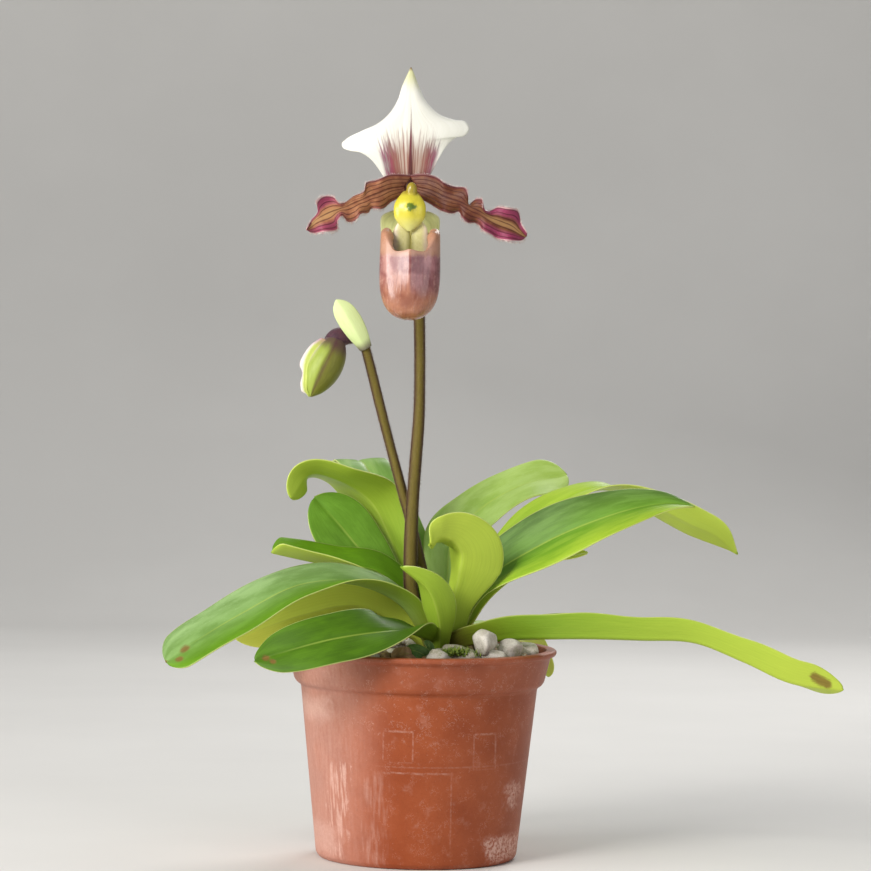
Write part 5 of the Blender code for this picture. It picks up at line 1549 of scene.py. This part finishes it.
WHITE_HAIR = new_finish("white hair", white_hair_paint)
PETAL_FINISH = new_finish("veined petal", petal_paint)
make_dorsal()
for name, spec in PETALS.items():
    make_petal(name, spec, PETAL_FINISH, rng)
print("Made the dorsal sepal and", len(PETALS), "petals")

# %% [markdown]
# ## Green sepal and bracts
# Behind the slipper the two lower sepals are grown into one pale green shield, and each flower and
# bud sits in the arm of a folded bract. They are blades like the leaves, thinner and finely veined.

# %% Sepal and bracts
def green_paint(g):
    across, along = g.blade()
    fibre = g.fibres(across * 20, along * 5)
    veins = veins_along(g, across, along, 4.5, 0.2, 0.25)
    colour = g.layers(
        # painted light: near white, lighter than the sepal's own pale green, for the light on it where it
        # lies in shade
        g.mix(fibre, tone(246, 248, 190), tone(222, 230, 150)),
        (veins * 0.15, tone(140, 160, 80)),
        (margin(g, across, 0.05) * 0.5, tone(240, 242, 206)),
    )
    return dict(colour=colour, roughness=0.42 + fibre * 0.1, height=veins * 0.03 + fibre * 0.06)


def bract_paint(g):
    across, along = g.blade()
    fibre = g.fibres(across * 20, along * 6)
    veins = veins_along(g, across, along, 5.5, 0.2, 0.3)
    colour = g.layers(
        g.mix(fibre, tone(232, 244, 184), tone(206, 226, 142)),
        (veins * 0.05, tone(160, 186, 100)),
        (g.step(along + fibre * 0.1, 0.24, 0.06) * 0.85, tone(96, 74, 74)),
    )
    return dict(colour=colour, roughness=0.42 + fibre * 0.1, height=veins * 0.01 + fibre * 0.05)


GREEN_FINISH = new_finish("pale green sepal", green_paint, sheen(0.1, 0.5))
BRACT_FINISH = new_finish("bract", bract_paint, sheen(0.1, 0.5))
SHEETS = {"synsepal": (GREEN_FINISH, "green_sepal"), "flower_bract": (BRACT_FINISH, "bract"),
          "bud_bract": (BRACT_FINISH, "bract")}
for name, (finish, slot) in SHEETS.items():
    t, s = sheet_steps(64, 31, LEAF_CROWDING)
    points, face, half = blade_surface(FLORAL[name], t, s)
    two_faced(name + "_sheet", points, face[:, None], sheet_thickness(t, s, 0.6), t, s, finish, (name,))
print("Made", list(SHEETS))

# %% [markdown]
# ## Slipper
# The lip is a glossy cup. Its rim is low and level in front with a small peak, and rises at the
# sides into ears whose edges roll inwards; at the back a narrow claw reaches the flower's middle. A
# fine keel runs down the front from the peak and splits the light: left of it lies the white shine of
# the lamp, and right of it the wall is mauve, painted darker as shade.

# %% Slipper shape
POUCH_WALL = 0.6
POUCH_RINGS = 46
POUCH_SIDES = 120


def pouch_rings():
    """Inner toe up to the rim, round the rolled edge, and down the outside to the toe.

    Height falls in even steps from the rim to the toe. The section's size is (1 - v^5.5)^0.5 at the
    share v of the way down. The edge is a roll whose radius and angle grow towards the ears.
    """
    v = 1 - (1 - np.linspace(0, 0.9995, POUCH_RINGS))[:, None] ** 1.5
    angle = np.linspace(0, 2 * math.pi, POUCH_SIDES, endpoint=False)[None, :]
    front = np.minimum(angle, 2 * math.pi - angle)
    back = ((1 - np.cos(angle)) / 2) ** 3
    ears = smoothstep(0.45, 1.08, front) * smoothstep(2.3, 1.5, front)
    peak = 0.7 * np.exp(-((front / 0.2) ** 2))
    roll = 0.35 + 1.65 * ears * (1 - back)
    rim = POUCH_RIM + POUCH_EARS * ears + POUCH_CLAW * back + peak - roll

    def wall(v, inset):
        size = (1 - v**5.5) ** 0.5
        claw = back * (1 - v) ** 2
        keel = 0.75 * np.exp(-front / 0.22) * (1 - smoothstep(0.45, 0.8, v))
        x = POUCH_X + (POUCH_HALF_WIDTH + 0.4 - inset) * np.sin(angle) * size * (1 - 0.5 * claw)
        depth = POUCH_HALF_DEPTH + keel - inset
        y = POUCH_Y - POUCH_FORWARD * v - depth * np.cos(angle) * size + 1.4 * claw
        z = rim + (POUCH_TOE + inset - rim) * v
        return np.stack([x, y, z], -1)

    outer = wall(v, 0.0)
    inner = wall(v, POUCH_WALL)
    inward = np.stack([-np.sin(angle), np.cos(angle), 0 * angle], -1)
    up = np.array([0.0, 0.0, 1.0])
    share = np.linspace(0, 1, 12)[1:, None]
    bend = share * (math.pi * 0.5 + math.pi * 0.55 * ears * (1 - back))
    edge = outer[:1]

    def rolled(radius):
        out = (roll - radius * np.cos(bend))[..., None] * inward
        return edge + out + (radius * np.sin(bend))[..., None] * up

    outside = rolled(roll)
    inside = rolled(np.maximum(roll - 0.45, 0.1))
    return np.concatenate([inner[::-1], inside[::-1][:-1], outside[::-1], outer])


def pouch_paint(g):
    """Rose brown, its right half painted darker mauve as shade, tan at the toe, speckled yellow green inside
    at the back.
    """
    place = g.place()
    x, y, z = g.split(place)
    flow = g.noise(g.stretched(place, 0.6, 0.6, 0.3), 1.0, 4.0, 0.6)
    cloud = clouds(g, place, 0.18)
    speck = g.step(g.cells(place, 1.3), 0.28, 0.14)
    upper = g.mix(cloud, tone(186, 134, 124), tone(136, 76, 76))
    lower = g.mix(cloud, tone(176, 116, 86), tone(148, 88, 66))
    turn = g.math("ARCTAN2", x - POUCH_X, (y + 5.5) * -1) * 6.0
    wander = g.fibres(turn * 0.7, z * 0.14)
    lane = abs(g.math("FRACT", turn + wander * 2.2) - 0.5)
    veins = g.step(lane, 0.2, 0.03) * g.step(z, 204.0, 190.0) * g.step(wander, 0.4, 0.6)
    rim = g.step(z + flow * 2, 197.2, 199.4)
    inner = g.step(y, -5.5, -2.5) * g.step(z, 193.0, 199.0)
    colour = g.layers(
        upper,
        (g.step(z, 194.0, 182.0), lower),
        # painted shade: the half right of the keel is darker mauve
        (g.step(x, -6.0, -4.5) * g.step(z, 182.0, 188.0) * 0.6,
         g.mix(cloud, tone(150, 96, 110), tone(104, 50, 62))),
        (veins * 0.22, tone(104, 46, 44)),
        (g.step(flow, 0.45, 0.75) * 0.25, tone(208, 160, 144)),
        (rim * 0.55, tone(196, 150, 112)),
        (g.step(z, 200.0, 204.0) * 0.45, tone(186, 128, 88)),
        (inner * 0.9, g.mix(cloud, tone(222, 216, 134), tone(204, 194, 116))),
        (speck * g.step(z, 198.5, 201.0) * 0.6, tone(150, 84, 70)),
    )
    rough = 0.2 + flow * 0.12 + g.step(z, 196.0, 201.0) * 0.3
    return dict(colour=colour, roughness=rough, height=veins * 0.03 + flow * 0.1)


POUCH_FINISH = new_finish("glossy slipper", pouch_paint, coat(0.35, 0.18))
rings = pouch_rings()
skin("pouch_wall", rings, POUCH_FINISH, ("pouch",))
print("The slipper has", len(rings), "rings")

# %% [markdown]
# ## Column
# In the mouth of the slipper sits the column: a stalk from the flower's middle with a waxy yellow
# shield at its end, marked with a green spot on a small boss. A golden knob shows above the shield and
# two greenish lobes below it, with painted shade, dark olive, on their inner edges in the cleft between them.

# %% Column, shield, knob and lobes
KNOB_PLACE = (-5.5, -3.2, 218.5)
KNOB_SIZE = (1.8, 1.6, 2.8)  # half sizes, as for the lobes
LOBE_PLACES = ((-8.6, -2.8, 200), (-2.6, -2.8, 200))
LOBE_SIZE = (3.3, 0.9, 8.6)


def ball_rings(centre, size, rows=18, columns=28):
    """A ball drawn out to three half sizes."""
    lat = math.pi * (np.arange(rows) + 0.5)[:, None] / rows
    lon = 2 * math.pi * np.arange(columns)[None, :] / columns
    ways = np.stack([np.sin(lat) * np.cos(lon), np.sin(lat) * np.sin(lon), np.cos(lat) + 0 * lon], -1)
    return ways * np.array(size) + np.array(centre)


def shield_paint(g):
    place = g.place()
    x, _, z = g.split(place)
    fibre = g.noise(place, 0.9, 2.0)
    ragged = g.noise(place, 1.1, 3.0, 0.6)
    spot = g.math("SQRT", ((x - POUCH_X) / 1.7) ** 2.0 + ((z - 213.2) / 1.45) ** 2.0)
    colour = g.layers(
        g.mix(fibre, tone(226, 212, 60), tone(204, 192, 50)),
        (g.step(z, 211.0, 205.5) * 0.75, tone(230, 228, 150)),
        (g.step(z, 216.4, 218.2) * 0.85, tone(150, 128, 34)),
        (g.step(spot + (ragged - 0.5) * 1.6, 1.15, 0.7) * 0.9, tone(72, 112, 30)),
    )
    return dict(colour=colour, roughness=0.3 + fibre * 0.12, height=fibre * 0.05)


def lobe_paint(g):
    place = g.place()
    x, _, _ = g.split(place)
    fibre = g.noise(place, 1.5, 3.0)
    away = abs(x - POUCH_X)
    colour = g.layers(
        g.mix(fibre, tone(238, 228, 168), tone(206, 200, 120)),
        # painted shade: dark olive on the lobes' inner edges, in the cleft between them
        (g.step(away + fibre * 0.8, 2.2, 0.6) * 0.8, tone(150, 140, 40)),
        (g.step(away + fibre, 3.8, 5.6) * 0.6, tone(232, 206, 198)),
    )
    return dict(colour=colour, roughness=0.34 + fibre * 0.1, height=fibre * 0.06)


SHIELD_FINISH = new_finish("yellow shield", shield_paint, coat(0.3, 0.2))
LOBE_FINISH = new_finish("greenish lobe", lobe_paint, coat(0.2, 0.2))
receptacle = np.array(FLOWER)
column_route = receptacle + np.array(COLUMN_ROUTE)
make_tube("column_stalk", column_route, COLUMN_RADII, (0, 0, 1), LOBE_FINISH, rows=30, sides=28)
t, s = sheet_steps(60, 45, 1.2)
points, face, half = blade_surface(dict(SHIELD, route=receptacle + np.array(SHIELD["route"]), tip=0.12), t, s)
off = half[:, None] * s[None, :]
boss = 0.6 * np.exp(-((off / 1.0) ** 2) - ((t[:, None] - 0.48) / 0.08) ** 2)
hollow = -0.12 * np.exp(-((np.abs(off) - 2.2) ** 2)) * np.sin(math.pi * t[:, None])
two_faced("column_shield", points, face[:, None], sheet_thickness(t, s, 1.5, 0.5), t, s, SHIELD_FINISH,
          ("column",), ridge=boss + hollow)
skin("column_knob", ball_rings(KNOB_PLACE, KNOB_SIZE), SHIELD_FINISH)
many_skins("throat_lobes", [ball_rings(place, LOBE_SIZE) for place in LOBE_PLACES], LOBE_FINISH)
print("Made the column with its shield, knob and lobes")

# %% [markdown]
# ## Bud
# The bud nods on a dark hairy neck. It is a pointed egg of three pressed sepals: dark seams run
# down it, one half is painted a lighter lime and the other a darker olive, as light and shade, and the
# frilled edge of a petal shows pink and white at its left.

# %% Bud shape and finish
BUD_LIP = dict(  # the edge of a petal that stands out at the bud's left
    left=((-34.6, 4.6, 169.8), (-37.6, 4.3, 167.6), (-39.6, 4, 165), (-41.2, 3.7, 160.5),
          (-40.3, 3.6, 158.6), (-40.9, 3.4, 154.4), (-40.2, 3.3, 152), (-38.9, 3.2, 151.6),
          (-37.8, 3.1, 150.3)),
    right=((-32.3, 3.6, 169), (-34.3, 2.5, 166.7), (-37.2, 1.2, 162), (-38.6, 1, 156.7),
           (-38.6, 1.6, 153.2), (-37.8, 2.7, 150.4)),
    middle=((-33.4, 3.6, 169.6), (-37, 2.7, 166.6), (-39.2, 1.9, 161.6), (-39.6, 1.7, 156.4),
            (-39.4, 2, 152.9), (-37.8, 2.9, 150.3)))


def bud_shape(t, turn):
    """Shallow grooves at three seams."""
    groove = sum(np.exp(-((np.angle(np.exp(1j * (turn - a))) / 0.12) ** 2)) for a in (0.0, 2.1, 4.2))
    return -0.035 * groove * np.sin(math.pi * t)


def bud_paint(g):
    """Lighter lime left of the seam, darker olive right of it, as painted light; white and pink at the upper
    left, dark on top.
    """
    across, along = g.blade()
    u = across * 0.5 + 0.5
    fibre = g.fibres(across * 14, along * 4, 0.0, 1.5, 4.0, 0.6)
    # painted light: lighter lime for the left half, lit from the left, and darker olive for the right
    left = g.mix(fibre, tone(172, 186, 80), tone(138, 158, 44))
    right = g.mix(fibre, tone(134, 136, 40), tone(100, 98, 24))
    seam = g.most(g.step(u, 0.035, 0.004), g.step(u, 0.955, 0.996))
    flush = g.step(u, 0.1, 0.2) * g.step(u, 0.42, 0.3) * g.step(along + (fibre - 0.5) * 0.4, 0.65, 0.35)
    top = g.step(along + (fibre - 0.5) * 0.16, 0.34, 0.12)
    colour = g.layers(
        left,
        (g.step(u, 0.45, 0.55), right),
        (seam * (0.45 + fibre * 0.4), tone(84, 58, 30)),
        (flush * 0.75, g.mix(fibre, tone(226, 186, 190), tone(244, 232, 224))),
        (top * 0.85, tone(84, 42, 60)),
    )
    return dict(colour=colour, roughness=0.42 + fibre * 0.12, height=fibre * 0.06)


def lip_paint(g):
    """The petal's edge: white with pink lines along it."""
    across, along = g.blade()
    fibre = g.fibres(across * 8, along * 10)
    colour = g.layers(
        g.mix(fibre, tone(248, 244, 236), tone(232, 206, 204)),
        (g.step(across + (fibre - 0.5) * 0.5, -0.7, 0.0), tone(190, 202, 92)),
        (g.step(along + fibre * 0.2, 0.3, 0.1) * 0.7, tone(170, 110, 130)),
    )
    return dict(colour=colour, roughness=0.45 + fibre * 0.1, height=fibre * 0.06)


def neck_paint(g):
    place = g.place()
    speck = g.cells(place, 1.6)
    cloud = clouds(g, place, 0.3)
    colour = g.mix(cloud, tone(88, 46, 60), tone(66, 34, 48))
    return dict(colour=colour, roughness=0.55 + cloud * 0.1, height=g.step(speck, 0.4, 0.1) * 0.1)


BUD_FINISH = new_finish("bud", bud_paint, sheen(0.1, 0.4))
NECK_FINISH = new_finish("dark neck", neck_paint, sheen(0.3, 0.4))
LIP_FINISH = new_finish("bud petal edge", lip_paint, sheen(0.1, 0.4))
make_tube("bud_neck_tube", NECK_ROUTE, NECK_RADII, UPRIGHT_LOOK, NECK_FINISH, ("bud_neck",),
          rows=40, sides=28)
grow_hairs("bud_neck_hairs", "bud_neck", NECK_ROUTE, NECK_RADII, UPRIGHT_LOOK, count=500, start=0.0, end=1.0,
           longest=0.8)
t = np.linspace(0, 1, 80)
rings = tube_rings(BUD_ROUTE, BUD_RADII, len(t), 90, UPRIGHT_LOOK, bud_shape)
rounded = np.maximum(np.maximum(t - 0.88, 0) / 0.12, np.maximum(0.1 - t, 0) / 0.1)
close = np.sqrt(np.clip(1 - rounded**2, 4e-4, 1))[:, None, None]
middle = rings.mean(1, keepdims=True)
skin("bud_egg", middle + (rings - middle) * close, BUD_FINISH, ("bud",))
t, s = sheet_steps(60, 13, end=0.99)
points = patch_points(BUD_LIP, t, s)
two_faced("bud_petal_edge", points, FRONT, sheet_thickness(t, s, 0.5), t, s, LIP_FINISH)
print("Made the bud on its neck")

# %% [markdown]
# ## Small growth
# By the front rim a small weed holds up two oval leaves, and moss stands between the stones.

# %% Weed and moss
def moss_paint(g):
    cloud = clouds(g, g.place(), 0.9, 0.1)
    colour = g.mix(cloud, tone(92, 116, 40), tone(140, 158, 62))
    return dict(colour=colour, roughness=0.6 + cloud * 0.1, height=cloud * 0.02)


OVAL = ((0, 0.25), (0.15, 0.75), (0.45, 1.0), (0.8, 0.85), (1, 0.5))
WEED = {
    "weed_leaf_front": dict(
        route=((3.4, -29.5, 66.6), (2.4, -30.5, 68.2), (-1, -31.4, 70.2), (-4.4, -31.8, 71)),
        faces=((0, -0.8, 0.4), (0, -0.8, 0.5), (0, -0.8, 0.5)), width=5.2, outline=OVAL, fold=(12, 8),
        curl=(-10, -15)),
    "weed_leaf_back": dict(
        route=((3.6, -28.5, 66.6), (3.6, -28.8, 69.5), (3, -29, 72), (1.4, -29.4, 73.4)),
        faces=((0, -1, 0.3), (0, -0.8, 0.6), (0, -0.8, 0.6)), width=3, outline=OVAL, fold=(10, 10)),
}
WEED_LOOK = dict(PLAIN_LOOK, lime=0.05)
MOSS_FINISH = new_finish("moss", moss_paint)
BLADES_OF_MOSS = 80  # in each tuft
for name, spec in WEED.items():
    t, s = sheet_steps(30, 13)
    points, face, half = blade_surface(spec, t, s)
    marks = leaf_marks(WEED_LOOK, t, s, half, 1.0)
    two_faced(name, points, face[:, None], sheet_thickness(t, s, 0.4), t, s, LEAF_FINISH, (), marks)
tufts = np.array([(8, -33, 69.4), (10.2, -33.4, 70), (12.6, -33.6, 70.2), (14.8, -33.4, 69.8),
                  (17, -33, 69.2)])
count = len(tufts) * BLADES_OF_MOSS
roots = np.repeat(tufts, BLADES_OF_MOSS, axis=0) + rng.normal(0, 0.9, (count, 3)) * np.array([1, 0.6, 0.4])
ways = rng.normal(0, 0.7, (count, 3)) + np.array([0, -0.3, 0.9])
needles("moss", roots, ways, rng.uniform(1.2, 3.0, count), 0.3, MOSS_FINISH, "leaf")
print("Planted", list(WEED), "and", len(tufts), "tufts of moss")
